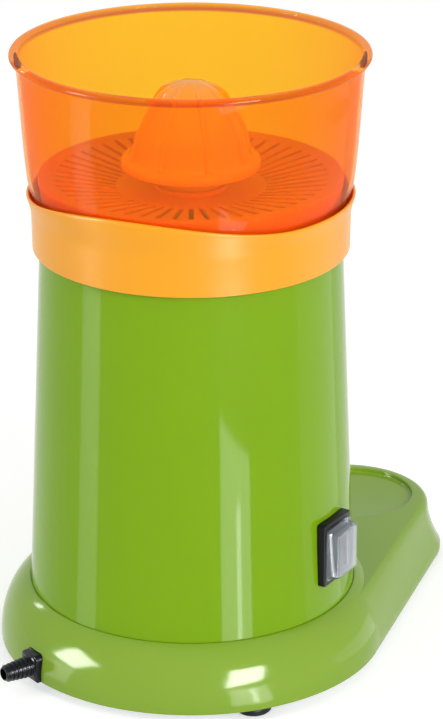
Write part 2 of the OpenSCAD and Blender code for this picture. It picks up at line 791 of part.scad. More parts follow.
module reamer() {
    rings = [for (q = reamer_shares) ribbed_ring(reamer_r * q[1], rib_h * lookup(q[0], rib_fade_shares))];
    color([1, 0.52, 0.13]) on_axis() difference() {
        union() {
            loft(concat(rings, [ribbed_ring(tip_r, 0)]),
                concat([for (s = reamer_shares) reamer_z + reamer_h * s[0]], [reamer_top]));
            translate([0, 0, boss_z]) cylinder(r = boss_r, h = reamer_z - boss_z + reamer_wall / 2);
        }
        rotate_extrude() polygon([[boss_r, reamer_z - fit_gap],
            [reamer_r * cavity_shares[0][1] - reamer_wall, reamer_z - fit_gap],
            [reamer_r * cavity_shares[1][1], reamer_z + reamer_h * cavity_shares[1][0]],
            [boss_r, reamer_z + reamer_h * cavity_shares[2][0]]]);
        translate([0, 0, boss_z - eps]) {
            cylinder(r = drive_hub_r + gap, h = drive_hub_top + gap - boss_z + eps);
            around(4, 0) translate([0, -spline_w / 2 - gap, 0])
                cube([drive_hub_r + spline_h + gap, spline_w + 2 * gap, drive_hub_top + gap - boss_z + eps]);
        }
    }
}

// Drive

module drive_hub() {
    color([0.92, 0.92, 0.9]) on_axis() difference() {
        union() {
            translate([0, 0, hub_seat_z]) cylinder(r = drive_hub_r, h = drive_hub_top - hub_seat_z);
            around(4, 0) translate([0, -spline_w / 2, boss_z])
                cube([drive_hub_r + spline_h, spline_w, drive_hub_top - boss_z - chamfer]);
        }
        translate([0, 0, hub_seat_z - eps])
            cylinder(r = hexagon_r + hole_gap, h = hub_cap_z - hub_seat_z + eps, $fn = 6);
    }
}

module spindle() {
    shoulder = hub_seat_z - gap;
    color([0.8, 0.81, 0.83]) on_axis() {
        translate([0, 0, spindle_z]) cylinder(r1 = spindle_r - chamfer, r2 = spindle_r, h = chamfer);
        translate([0, 0, spindle_z + chamfer]) cylinder(r = spindle_r, h = shoulder - spindle_z - chamfer);
        translate([0, 0, shoulder - chamfer]) cylinder(r = hexagon_r, h = hexagon_top - shoulder, $fn = 6);
        translate([0, 0, hexagon_top - chamfer]) cylinder(r1 = hexagon_r, r2 = hexagon_r - chamfer, h = chamfer, $fn = 6);
    }
}

module slinger_ring() {
    color([0.14, 0.14, 0.15]) on_axis() translate([0, 0, hub_top + 2 * gap])
        rotate_extrude() polygon([[spindle_r + fit_gap, 0], [slinger_r, 0], [slinger_r, slinger_h / 2],
            [spindle_r + slinger_w / 2, slinger_h], [spindle_r + fit_gap, slinger_h]]);
}

module rotor() {
    color([0.55, 0.56, 0.58]) on_axis() {
        translate([0, 0, stator_z]) ring(spindle_r + fit_gap, rotor_r, stator_h);
        for (z = [stator_z - end_ring_h, stator_top]) translate([0, 0, z])
            ring(rotor_r * 0.6, rotor_r - end_ring_step, end_ring_h);
    }
}

module cooling_fan() {
    color([0.9, 0.9, 0.88]) on_axis() translate([0, 0, fan_z]) difference() {
        union() {
            cylinder(r = fan_hub_r, h = fan_h);
            translate([0, 0, fan_h - fan_disc]) cylinder(r = fan_r, h = fan_disc);
            around(blade_count, fan_hub_r - blade_t / 2) translate([0, -blade_t / 2, 0])
                cube([fan_r - fan_hub_r, blade_t, fan_h - fan_disc / 2]);
        }
        translate([0, 0, -eps]) cylinder(r = spindle_r + fit_gap, h = fan_h + 2 * eps);
    }
}

// Motor

module bearing(z) {
    color([0.78, 0.79, 0.8]) on_axis() translate([0, 0, z]) difference() {
        ring(spindle_r + run_gap, bearing_r, bearing_h);
        for (s = [-eps, bearing_h - chamfer]) translate([0, 0, s])
            ring(spindle_r + bearing_land, bearing_r - bearing_land, chamfer + eps);
    }
}

module upper_bearing() {
    bearing(bracket_z - bearing_cup);
}

module lower_bearing() {
    bearing(lower_bracket_z + bracket_t + bearing_cup - bearing_h);
}

// A die-cast end bracket with its flange at z = 0 and its skirt reaching up to the stator
module motor_bracket(ears) {
    cup_top = bracket_t + bearing_cup;
    difference() {
        union() {
            cylinder(r = stator_r, h = bracket_t);
            ring(stator_r - bracket_wall, stator_r, bracket_t + bracket_skirt);
            cylinder(r = bearing_r + bearing_seat, h = cup_top);
            if (ears) around(4, mount_r, 45) {
                cylinder(r = mount_boss_r, h = bracket_t, $fn = 48);
                translate([-mount_gap - bracket_wall, -mount_boss_r, 0])
                    cube([mount_gap + bracket_wall, 2 * mount_boss_r, bracket_t]);
            }
        }
        translate([0, 0, -eps]) cylinder(r = spindle_r + 2 * slide_gap, h = cup_top + 2 * eps);
        translate([0, 0, cup_top - bearing_h]) cylinder(r = bearing_r + fit_gap, h = bearing_h + eps);
        if (ears) around(4, mount_r, 45) translate([0, 0, -eps])
            cylinder(r = screw_r + hole_gap, h = bracket_t + 2 * eps, $fn = 32);
        around(4, tie_r) translate([0, 0, -eps]) cylinder(r = screw_r + hole_gap, h = bracket_t + 2 * eps, $fn = 32);
        around(4, 0, 45) translate([stator_r - 2 * bracket_wall, -stator_r / 4, bracket_t + bracket_frame])
            cube([3 * bracket_wall, stator_r / 2, bracket_skirt - 2 * bracket_frame]);
    }
}

module upper_motor_bracket() {
    color([0.72, 0.73, 0.74]) on_axis() translate([0, 0, bracket_z + bracket_t]) mirror([0, 0, 1]) motor_bracket(true);
}

module lower_motor_bracket() {
    color([0.72, 0.73, 0.74]) on_axis() translate([0, 0, lower_bracket_z]) motor_bracket(false);
}

module stator_core() {
    color([0.45, 0.46, 0.48]) on_axis() translate([0, 0, stator_z]) difference() {
        ring(stator_bore, stator_r, stator_h);
        around(4, tie_r) translate([0, 0, -eps]) cylinder(r = screw_r + hole_gap, h = stator_h + 2 * eps, $fn = 32);
    }
}

module stator_windings() {
    inner = stator_bore + winding_gap;
    outer = tie_r - screw_r - winding_gap;
    color([0.72, 0.38, 0.16]) on_axis() {
        translate([0, 0, stator_top]) rotate_extrude() winding_outline(inner, outer);
        translate([0, 0, stator_z]) mirror([0, 0, 1]) rotate_extrude() winding_outline(inner, outer);
    }
}

module winding_outline(inner, outer) {
    r = winding_round;
    polygon(concat([[inner, 0], [outer, 0]],
        arc(outer - r, winding_h - r, r, 0, 90, 4), arc(inner + r, winding_h - r, r, 90, 180, 4)));
}

module motor_tie_bolts() {
    len = bracket_z + bracket_t - lower_bracket_z - chamfer;
    color([0.7, 0.71, 0.73]) on_axis() around(4, tie_r) translate([0, 0, lower_bracket_z]) screw(len);
}

module motor_mount_screws() {
    color([0.75, 0.76, 0.78]) on_axis() around(4, mount_r, 45) translate([0, 0, bracket_z])
        screw(bracket_t + mount_boss_h - 4 * eps);
}

// Electrical pieces

module run_capacitor() {
    r = capacitor_r;
    color([0.85, 0.86, 0.87]) on_axis() translate([capacitor_x, capacitor_y, plate_top]) rotate_extrude()
        polygon([[0, 0], [r - capacitor_edge, 0], [r, capacitor_edge], [r, capacitor_h - capacitor_lid],
            [r - capacitor_lid, capacitor_h], [capacitor_pin_r, capacitor_h],
            [capacitor_pin_r, capacitor_h + capacitor_pin_h], [0, capacitor_h + capacitor_pin_h]]);
}

module capacitor_clip() {
    in_r = capacitor_r + clip_gap;
    out_r = in_r + clip_t;
    color([0.7, 0.71, 0.72]) on_axis() translate([capacitor_x, capacitor_y, plate_top]) {
        difference() {
            union() {
                cylinder(r = out_r, h = clip_h);
                translate([-out_r - clip_foot, -clip_foot / 2, 0]) cube([clip_foot + clip_t, clip_foot, clip_t]);
            }
            translate([0, 0, -eps]) cylinder(r = in_r, h = clip_h + 2 * eps);
            translate([-out_r - clip_foot / 2, 0, -eps]) cylinder(r = screw_r, h = clip_t + 2 * eps, $fn = 32);
        }
    }
}

module terminal_block() {
    color([0.9, 0.9, 0.88]) on_axis() translate([block_x - block_w / 2, block_y - block_d / 2, plate_top])
        difference() {
            cube([block_w, block_d, block_h]);
            for (i = [0:pole_count - 1], s = pole_shares)
                translate([pole_x(i), block_d * s, block_h - pole_depth])
                    cylinder(r = pole_r, h = pole_depth + eps, $fn = 32);
            for (i = [0:pole_count - 1]) translate([pole_x(i), -eps, wire_z])
                rotate([-90, 0, 0]) cylinder(r = pole_r * wire_share, h = block_d + 2 * eps, $fn = 32);
        }
}

function pole_x(i) = block_w / 2 + (i - (pole_count - 1) / 2) * pole_pitch;

module terminal_screws() {
    color([0.78, 0.7, 0.4]) on_axis() translate([block_x - block_w / 2, block_y - block_d / 2, plate_top])
        for (i = [0:pole_count - 1], s = pole_shares)
            translate([pole_x(i), block_d * s, block_h - pole_depth]) difference() {
                cylinder(r = pole_r - run_gap, h = pole_depth - pole_step, $fn = 32);
                translate([-pole_r, -slit_w / 2, pole_depth - pole_step - slit_d])
                    cube([2 * pole_r, slit_w, 2 * slit_d]);
            }
}

// Three leads from the clamp behind the cable gland to the terminal block
module supply_leads() {
    entry = gland_root - gland_depth - clamp_t / 2;
    color([0.25, 0.33, 0.6]) on_axis() for (i = [0:lead_count - 1]) {
        a = 210 - 360 * i / lead_count;
        end = spot(entry, gland_angle) + lead_ring * cos(a) * [sin(gland_angle), -cos(gland_angle)];
        rod([block_x - block_w / 2 + pole_x(i + 1), block_y + block_d / 2 - lead_grip, plate_top + wire_z],
            [end.x, end.y, gland_z + lead_ring * sin(a)], lead_r);
    }
}

// Switch

module switch_bezel() {
    sleeve_w = window_w / 2 + sleeve_t;
    color([0.08, 0.08, 0.09]) at_switch() difference() {
        union() {
            translate([-bezel_back, 0, 0]) rounded_plate(bezel_w, bezel_h, bezel_d + bezel_back, bezel_edge);
            translate([-sleeve_d, -sleeve_w, -window_h / 2 - sleeve_t])
                cube([sleeve_d, 2 * sleeve_w, window_h + 2 * sleeve_t]);
        }
        translate([-sleeve_d - eps, -window_w / 2, -window_h / 2]) cube([sleeve_d + bezel_d + 2 * eps, window_w, window_h]);
        translate([pivot_x, -sleeve_w + hole_gap, 0]) rotate([-90, 0, 0])
            cylinder(r = pivot_r + pivot_gap, h = 2 * (sleeve_w - hole_gap), $fn = 32);
    }
}

module switch_body() {
    back = -sleeve_d - body_d;
    color([0.16, 0.16, 0.17]) at_switch() {
        translate([back, -window_w / 2 - sleeve_t, -window_h / 2 - sleeve_t])
            cube([body_d, window_w + 2 * sleeve_t, window_h + 2 * sleeve_t]);
        for (z = [-1, 0, 1]) translate([back - blade_len, -blade_w / 2, z * window_h / 3 - blade_thin / 2])
            cube([blade_len + eps, blade_w, blade_thin]);
    }
}

module switch_rocker() {
    h = rocker_h / 2;
    pin = window_w / 2 + pivot_len - pivot_gap;
    color([0.12, 0.12, 0.13]) at_switch() translate([pivot_x, 0, 0]) rotate([0, rocker_tilt, 0]) {
        translate([0, rocker_w / 2, 0]) rotate([90, 0, 0]) linear_extrude(rocker_w)
            polygon([[-rocker_back, -h], [rocker_d, -h], [rocker_d - rocker_crown, 0], [rocker_d, h],
                [-rocker_back, h], [-rocker_back - rocker_belly, 0]]);
        translate([0, -pin, 0]) rotate([-90, 0, 0]) cylinder(r = pivot_r, h = 2 * pin, $fn = 32);
    }
}

module switch_cover() {
    w = window_w + 2 * cover_t;
    h = window_h + 2 * cover_t;
    module frustum(w, h, d) {
        x = w / 2;
        y = h / 2;
        loft([[[-x, -y], [x, -y], [x, y], [-x, y]],
            [[-x + cover_draft, -y + cover_draft], [x - cover_draft, -y + cover_draft],
                [x - cover_draft, y - cover_draft], [-x + cover_draft, y - cover_draft]]], [0, d]);
    }
    color([0.8, 0.84, 0.88, 0.4]) at_switch() translate([bezel_d, 0, 0]) rotate([90, 0, 90]) difference() {
        union() {
            translate([-w / 2 - cover_flange, -h / 2 - cover_flange, 0])
                cube([w + 2 * cover_flange, h + 2 * cover_flange, cover_t]);
            frustum(w, h, cover_d);
        }
        translate([0, 0, -fit_gap]) frustum(w - 2 * cover_t, h - 2 * cover_t, cover_d - cover_t);
    }
}

// Cable gland

// The gland's flange from x = 0 outwards: square below and rounded at its two upper corners
module gland_plate(d, grow, low) {
    w = gland_w / 2 + grow;
    top = gland_top_z - gland_z + grow;
    r = gland_round + grow;
    rotate([90, 0, 90]) linear_extrude(d) polygon(concat([[-w, low], [w, low]],
        arc(w - r, top - r, r, 0, 90, 6), arc(r - w, top - r, r, 90, 180, 6)));
}

module cable_gland() {
    pitch = relief_len / (relief_rings + 0.5);
    function relief_r(s) = relief_root_r + (relief_tip_r - relief_root_r) * s * relief_end / relief_rings;
    rings = [for (i = [0:relief_rings - 1])
        let (x0 = gland_face + pitch * (i + relief_start), x1 = x0 + pitch / 2,
            r0 = relief_r(i + relief_start), r1 = relief_r(i + relief_end))
        for (q = [[x0, r0 - relief_ring_h], [x0, r0], [x1, r1], [x1, r1 - relief_ring_h]]) q];
    color([0.09, 0.09, 0.1]) at_gland() difference() {
        union() {
            translate([gland_root, 0, 0]) gland_plate(gland_face - gland_root, 0, gland_foot_z - gland_z);
            translate([gland_root - gland_depth, 0, 0]) gland_plate(gland_depth + eps, 0, gland_neck_z - gland_z);
            translate([gland_grip_x - gland_grip_d, -gland_grip_w / 2, gland_neck_z - gland_z])
                cube([gland_grip_d, gland_grip_w, gland_grip_top - gland_neck_z]);
            rotate([0, 90, 0]) rotate_extrude() polygon([for (q = concat(
                [[gland_face - chamfer, 0], [gland_face - chamfer, relief_root_r]], rings,
                [[gland_reach, relief_tip_r - relief_ring_h / 2], [gland_reach, 0]])) [q[1], q[0]]]);
        }
        translate([gland_root - gland_depth - eps, 0, 0]) rotate([0, 90, 0])
            cylinder(r = cable_r, h = gland_reach - gland_root + gland_depth + 2 * eps, $fn = 48);
    }
}

module gland_clamp() {
    color([0.85, 0.85, 0.83]) at_gland()
        translate([gland_root - gland_depth - clamp_t - run_gap, -clamp_w / 2, gland_neck_z - gland_z]) difference() {
            cube([clamp_t, clamp_w, gland_top_z - gland_neck_z]);
            translate([-eps, clamp_w / 2, gland_z - gland_neck_z]) rotate([0, 90, 0])
                cylinder(r = cable_r + hole_gap, h = clamp_t + 2 * eps, $fn = 48);
        }
}

base_shell();
bottom_plate();
rubber_feet();
foot_screws();
motor_housing();
housing_screws();
shaft_seal();
collector();
bowl();
strainer();
reamer();
drive_hub();
spindle();
slinger_ring();
rotor();
cooling_fan();
upper_bearing();
lower_bearing();
upper_motor_bracket();
lower_motor_bracket();
stator_core();
stator_windings();
motor_tie_bolts();
motor_mount_screws();
run_capacitor();
capacitor_clip();
terminal_block();
terminal_screws();
supply_leads();
switch_bezel();
switch_body();
switch_rocker();
switch_cover();
cable_gland();
gland_clamp();
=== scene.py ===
import math
import bmesh
import bpy
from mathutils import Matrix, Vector


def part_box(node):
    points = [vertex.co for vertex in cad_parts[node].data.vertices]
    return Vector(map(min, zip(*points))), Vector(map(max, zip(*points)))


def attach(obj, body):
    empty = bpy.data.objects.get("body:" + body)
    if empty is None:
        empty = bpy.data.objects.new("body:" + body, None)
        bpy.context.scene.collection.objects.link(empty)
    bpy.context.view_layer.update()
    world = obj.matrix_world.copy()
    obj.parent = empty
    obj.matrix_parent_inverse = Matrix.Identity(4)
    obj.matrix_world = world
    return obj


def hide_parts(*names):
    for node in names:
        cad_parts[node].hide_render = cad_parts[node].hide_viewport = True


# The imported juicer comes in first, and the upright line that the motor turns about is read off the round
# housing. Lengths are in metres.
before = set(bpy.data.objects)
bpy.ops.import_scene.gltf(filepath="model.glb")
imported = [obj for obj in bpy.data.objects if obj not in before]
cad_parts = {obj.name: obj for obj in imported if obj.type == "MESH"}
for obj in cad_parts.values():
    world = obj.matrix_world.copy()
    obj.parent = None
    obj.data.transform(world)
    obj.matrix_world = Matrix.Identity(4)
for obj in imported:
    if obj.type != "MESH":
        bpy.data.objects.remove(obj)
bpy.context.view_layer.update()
low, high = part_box("motor_housing")
axis = Vector(((low.x + high.x) / 2, (low.y + high.y) / 2, 0))

# Camera. It looks down on the back and the switch side of the machine from the photograph's place, through
# a long lens that keeps the perspective slight.
camera_from, camera_dip, camera_turn = Vector((-1.0255, 1.2221, 0.8027)), 21.606, -140.596
camera = bpy.data.objects.new("camera", bpy.data.cameras.new("camera"))
bpy.context.scene.collection.objects.link(camera)
camera.location = axis + camera_from
camera.rotation_euler = (math.radians(90 - camera_dip), 0, math.radians(camera_turn))
camera.data.lens = 154.05
camera.data.sensor_width = 36
camera.data.clip_start = 0.05
bpy.context.scene.camera = camera

# Bottom plate with its screws. The plate is zinc plated steel sheet, punched with vents, and pan head
# screws go up through the feet and the plate into the base.


def rgb(red, green, blue):
    """A colour as it looks on screen, from 0 to 255, in the linear values that shaders take."""
    shares = (red / 255, green / 255, blue / 255)
    return [c / 12.92 if c < 0.04045 else ((c + 0.055) / 1.055) ** 2.4 for c in shares]


def add_node(tree, kind, **values):
    """Adds a shader node and sets its properties and its inputs by name."""
    node = tree.nodes.new(kind)
    for name, value in values.items():
        if name in node.bl_rna.properties:
            setattr(node, name, value)
        else:
            node.inputs[name.replace("_", " ")].default_value = value
    return node


def add_group(name, inputs):
    """A node group with a colour, a roughness and the given numbers in, and a skin's three sockets out."""
    tree = bpy.data.node_groups.new(name, "ShaderNodeTree")
    tree.interface.new_socket("Color", in_out="INPUT", socket_type="NodeSocketColor")
    for label in ["Roughness"] + inputs:
        tree.interface.new_socket(label, in_out="INPUT", socket_type="NodeSocketFloat")
    for label, kind in (("Color", "Color"), ("Roughness", "Float"), ("Normal", "Vector")):
        tree.interface.new_socket(label, in_out="OUTPUT", socket_type="NodeSocket" + kind)
    return tree, tree.nodes.new("NodeGroupInput").outputs, tree.nodes.new("NodeGroupOutput").inputs


def vary(tree, base, pattern, amount):
    """The base value plus the pattern's swing about one half, times the amount."""
    centred = add_node(tree, "ShaderNodeMath", operation="SUBTRACT")
    centred.inputs[1].default_value = 0.5
    tree.links.new(pattern, centred.inputs[0])
    swing = add_node(tree, "ShaderNodeMath", operation="MULTIPLY_ADD")
    tree.links.new(centred.outputs[0], swing.inputs[0])
    tree.links.new(amount, swing.inputs[1])
    if isinstance(base, float):
        swing.inputs[2].default_value = base
    else:
        tree.links.new(base, swing.inputs[2])
    return swing.outputs[0]


def tint(tree, given, pattern, amount):
    """The group's colour made lighter or darker where the pattern is, by the named amount."""
    shade = vary(tree, 1.0, pattern, given[amount])
    mixed = add_node(tree, "ShaderNodeVectorMath", operation="SCALE")
    tree.links.new(given["Color"], mixed.inputs[0])
    tree.links.new(shade, mixed.inputs["Scale"])
    return mixed.outputs[0]


def bump(tree, height, depth, distance):
    """Raises the surface by a pattern."""
    raised = add_node(tree, "ShaderNodeBump", Distance=distance)
    tree.links.new(height, raised.inputs["Height"])
    tree.links.new(depth, raised.inputs["Strength"])
    return raised.outputs["Normal"]


# Zinc plating crystallises in small flakes that catch the light differently
plated, given, out = add_group("plated metal", ["Flakes", "Contrast", "Depth"])
where = add_node(plated, "ShaderNodeTexCoord").outputs["Object"]
flakes = add_node(plated, "ShaderNodeTexVoronoi")
haze = add_node(plated, "ShaderNodeTexNoise", Scale=60.0, Detail=5.0)
plated.links.new(where, flakes.inputs["Vector"])
plated.links.new(given["Flakes"], flakes.inputs["Scale"])
plated.links.new(where, haze.inputs["Vector"])
grey = add_node(plated, "ShaderNodeSeparateColor")
plated.links.new(flakes.outputs["Color"], grey.inputs[0])
plated.links.new(tint(plated, given, grey.outputs[0], "Contrast"), out["Color"])
plated.links.new(vary(plated, given["Roughness"], haze.outputs["Fac"], given["Contrast"]), out["Roughness"])
plated.links.new(bump(plated, grey.outputs[0], given["Depth"], 0.0001), out["Normal"])


def make_material(name, skin, color, roughness, detail, **shader):
    """A material whose Principled shader takes colour, roughness and normal from a skin group."""
    material = bpy.data.materials.new(name)
    material.use_nodes = True
    tree = material.node_tree
    principled = tree.nodes["Principled BSDF"]
    for socket, value in shader.items():
        principled.inputs[socket.replace("_", " ")].default_value = value
    group = tree.nodes.new("ShaderNodeGroup")
    group.node_tree = skin
    group.inputs["Color"].default_value = (*color, 1)
    group.inputs["Roughness"].default_value = roughness
    for label, value in detail.items():
        group.inputs[label].default_value = value
    for here, there in (("Color", "Base Color"), ("Roughness", "Roughness"), ("Normal", "Normal")):
        tree.links.new(group.outputs[here], principled.inputs[there])
    return material


def dress(material, *nodes):
    """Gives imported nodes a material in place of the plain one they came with."""
    for name in nodes:
        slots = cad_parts[name].data.materials
        slots.clear()
        slots.append(material)


zinc = make_material("zinc sheet", plated, rgb(196, 199, 203), 0.34,
                     {"Flakes": 160, "Contrast": 0.22, "Depth": 0.15}, Metallic=1.0)
screw_zinc = make_material("zinc screw", plated, rgb(206, 208, 212), 0.27,
                           {"Flakes": 900, "Contrast": 0.16, "Depth": 0.1}, Metallic=1.0)
dress(zinc, "bottom_plate")
dress(screw_zinc, "foot_screws", "housing_screws", "motor_mount_screws", "motor_tie_bolts")

# Rubber feet. Each is a black moulded button with a recess for its screw head, a little matt and dusty. The
# shaft's seal and slinger ring are of a softer rubber.
rubbery, given, out = add_group("moulded rubber", ["Bloom", "Grain", "Depth"])
where = add_node(rubbery, "ShaderNodeTexCoord").outputs["Object"]
bloom = add_node(rubbery, "ShaderNodeTexNoise", Scale=90.0, Detail=6.0, Roughness=0.7)
grain = add_node(rubbery, "ShaderNodeTexNoise", Detail=2.0)
rubbery.links.new(where, bloom.inputs["Vector"])
rubbery.links.new(where, grain.inputs["Vector"])
rubbery.links.new(given["Grain"], grain.inputs["Scale"])
rubbery.links.new(tint(rubbery, given, bloom.outputs["Fac"], "Bloom"), out["Color"])
rubbery.links.new(given["Roughness"], out["Roughness"])
rubbery.links.new(bump(rubbery, grain.outputs["Fac"], given["Depth"], 0.0002), out["Normal"])

foot_rubber = make_material("foot rubber", rubbery, rgb(20, 24, 30), 0.5,
                            {"Bloom": 0.2, "Grain": 900, "Depth": 0.4}, Specular_IOR_Level=0.2)
seal_rubber = make_material("seal rubber", rubbery, rgb(30, 31, 33), 0.5,
                            {"Bloom": 0.5, "Grain": 1200, "Depth": 0.2})
dress(foot_rubber, "rubber_feet")
dress(seal_rubber, "shaft_seal", "slinger_ring")

# Base. One high gloss green moulding: a round dome that carries the housing on a raised ring, drawn out
# forwards to a lower seat with a shallow recess for a glass, and hollow from below.
base_top, foot_level, base_wall, base_rounding = 0.038, 0.006, 0.003, 0.004
dome_r, dome_width, dome_foot, dome_height = 0.088006, 0.021994, 0.008, 0.034
dome_inset, foot_chamfer = 0.0002, 0.0008
seat_y, seat_top_r, seat_flare, side_lean = 0.146, 0.049, 0.0085, 67.5
recess_y, recess_r, recess_floor, floor_rounding, rim_rounding = 0.152, 0.036, 0.035, 0.0012, 0.0008
ring_r, ring_top, ring_edge, opening_r = 0.0933, 0.041, 0.0007, 0.0663
groove_r, groove_depth, groove_draft = 0.0905, 0.001, 0.0002
gland_turn, notch_in, notch_out, notch_z = 76.0, 0.099, 0.132, 0.0107
notch_w, notch_h, notch_rounding = 0.0152, 0.0233, 0.0032
tool_bottom, tool_top = -0.004, 0.05
touching = 1e-6


def draw(name, points):
    """A chain of edges through the points, in edit mode, with its origin at the scene's."""
    bpy.ops.object.select_all(action="DESELECT")
    bpy.ops.mesh.primitive_plane_add(size=0.001, location=points[0])
    piece = bpy.context.object
    piece.name = piece.data.name = name
    bpy.ops.object.transform_apply(location=True, rotation=True, scale=True)
    bpy.ops.object.mode_set(mode="EDIT")
    bpy.ops.mesh.select_mode(type="VERT")
    bpy.ops.mesh.merge(type="CENTER")
    for here, there in zip(points, points[1:]):
        bpy.ops.mesh.extrude_region_move(TRANSFORM_OT_translate={"value": Vector(there) - Vector(here)})
    bpy.ops.mesh.select_all(action="SELECT")
    return piece


def turn(name, outline, centre, steps=192, start=0.0, sweep=360.0):
    """Turns an outline of (radius, height) about the upright line through centre."""
    way = Vector((math.cos(math.radians(start)), math.sin(math.radians(start)), 0))
    piece = draw(name, [centre + way * r + Vector((0, 0, z)) for r, z in outline])
    bpy.ops.mesh.spin(steps=steps, angle=math.radians(sweep), center=centre, axis=(0, 0, -1))
    bpy.ops.mesh.select_all(action="SELECT")
    bpy.ops.mesh.remove_doubles(threshold=touching)
    return piece


def pick(kind, test):
    """In edit mode, selects only the verts, edges or faces that pass the test."""
    bpy.ops.mesh.select_mode(type=kind)
    bpy.ops.mesh.select_all(action="DESELECT")
    mesh = bmesh.from_edit_mesh(bpy.context.object.data)
    for part in {"VERT": mesh.verts, "EDGE": mesh.edges, "FACE": mesh.faces}[kind]:
        if test(part):
            part.select_set(True)
    mesh.select_flush_mode()
    bmesh.update_edit_mesh(bpy.context.object.data)


def close(piece, angle=35):
    """Merges doubles, turns the faces outwards and smooths all but the sharp edges."""
    bpy.ops.mesh.select_mode(type="VERT")
    bpy.ops.mesh.select_all(action="SELECT")
    bpy.ops.mesh.remove_doubles(threshold=touching)
    bpy.ops.mesh.normals_make_consistent(inside=False)
    bpy.ops.object.mode_set(mode="OBJECT")
    bpy.ops.object.shade_smooth_by_angle(angle=math.radians(angle))
    return piece


def work_on(piece):
    """Leaves just this piece selected and active."""
    bpy.ops.object.select_all(action="DESELECT")
    piece.select_set(True)
    bpy.context.view_layer.objects.active = piece


def combine(piece, tool, how):
    """Joins a tool to a piece or cuts it out, and takes the tool away."""
    work_on(piece)
    step = piece.modifiers.new("tool", "BOOLEAN")
    step.operation = how
    step.solver = "EXACT"
    step.object = tool
    bpy.ops.object.modifier_apply(modifier=step.name)
    bpy.data.objects.remove(tool)


def cut_round(piece, name, centre, outline):
    """Cuts what an outline sweeps about the upright line through centre out of a piece."""
    combine(piece, close(turn(name, outline, centre, 96)), "DIFFERENCE")


def disc(r, bottom, top):
    """The outline of a plain disc."""
    return [(0, bottom), (r, bottom), (r, top), (0, top)]


def block(name, x0, x1, w, h):
    """A block from x0 to x1 about the x axis, open in edit mode."""
    bpy.ops.object.select_all(action="DESELECT")
    bpy.ops.mesh.primitive_cube_add(size=1, location=((x0 + x1) / 2, 0, 0), scale=(x1 - x0, w, h))
    piece = bpy.context.object
    piece.name = piece.data.name = name
    bpy.ops.object.transform_apply(location=True, rotation=True, scale=True)
    bpy.ops.object.mode_set(mode="EDIT")
    return piece


def bevel_edges(test, offset, segments):
    """Rounds the edges that pass a test."""
    pick("EDGE", test)
    bpy.ops.mesh.bevel(offset=offset, segments=segments, affect="EDGES")


def along_x(edge):
    """True for an edge that runs towards or away from +X."""
    return abs(edge.verts[0].co.x - edge.verts[1].co.x) > touching


def place(piece, radius, turned, height):
    """Turns a piece made facing +X to its direction round the axis, and sets it at its radius."""
    work_on(piece)
    a = math.radians(turned)
    piece.rotation_euler = (0, 0, a)
    piece.location = axis + Vector((radius * math.cos(a), radius * math.sin(a), height))
    bpy.ops.object.transform_apply(location=True, rotation=True, scale=True)


def arc(r, z, radius, start, end, steps=5):
    """Points of (radius, height) on a rounding."""
    turns = [math.radians(start + (end - start) * i / steps) for i in range(steps + 1)]
    return [(r + radius * math.cos(a), z + radius * math.sin(a)) for a in turns]


def fit(piece, material, body, node):
    """Puts a finished piece in its node's place on a body, with its material."""
    piece.data.materials.clear()
    piece.data.materials.append(material)
    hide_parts(node)
    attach(piece, body)


def base_form(name, wall, rounding):
    """The base's outer shape less a wall: two round ends joined by straight sides."""
    top, rows = base_top - wall, []
    heights = [foot_level, dome_foot]
    heights += [dome_foot + (top - rounding - dome_foot) * i / 12 for i in range(1, 13)]
    heights += [top - rounding * (1 - math.sin(math.radians(a))) for a in (22, 45, 67, 90)]
    for z in heights:
        lift = max(0, (z + wall - dome_foot) / dome_height)
        dome_end = dome_r + (dome_width - wall - dome_inset) * math.sqrt(1 - lift ** 2)
        rise = max(0, (z - dome_foot) / (base_top - dome_foot))
        sink = max(0, z - (top - rounding))
        soft = rounding - math.sqrt(max(0, rounding ** 2 - sink ** 2))
        rows.append((z, dome_end, seat_top_r - wall + seat_flare * (1 - rise) ** 2 - soft))
    seat_end = axis - Vector((0, seat_y, 0))
    form = close(turn(name, [(d, z) for z, d, s in rows], axis, 90, side_lean - 90, 360 - 2 * side_lean))
    other = close(turn(name, [(s, z) for z, d, s in rows], seat_end, 60, -90 - side_lean, 2 * side_lean))
    work_on(form)
    other.select_set(True)
    bpy.ops.object.join()
    bpy.ops.object.mode_set(mode="EDIT")
    for side in (-1, 1):
        pick("EDGE", lambda e: e.is_boundary and (e.verts[0].co.x - axis.x) * side > 0
             and abs(e.verts[0].co.z - e.verts[1].co.z) > touching)
        bpy.ops.mesh.bridge_edge_loops()
    for level in (foot_level, top):
        pick("EDGE", lambda e: e.is_boundary and all(abs(v.co.z - level) < touching for v in e.verts))
        bpy.ops.mesh.edge_face_add()
    return close(form)


base = base_form("base_moulding", 0, base_rounding)
foot_r = dome_r + dome_width
dome = [(0, foot_level), (foot_r - foot_chamfer, foot_level), (foot_r, foot_level + foot_chamfer)]
for i in range(21):
    lift = (ring_top - dome_foot) * math.sin(math.radians(90 * i / 20))
    dome.append((dome_r + dome_width * math.sqrt(1 - (lift / dome_height) ** 2), dome_foot + lift))
dome += [(ring_r - ring_edge, ring_top), (ring_r - ring_edge - groove_draft, ring_top - groove_depth)]
dome += [(groove_r, ring_top - groove_depth), (groove_r - groove_depth, ring_top), (0, ring_top)]
combine(base, close(turn("dome", dome, axis)), "UNION")

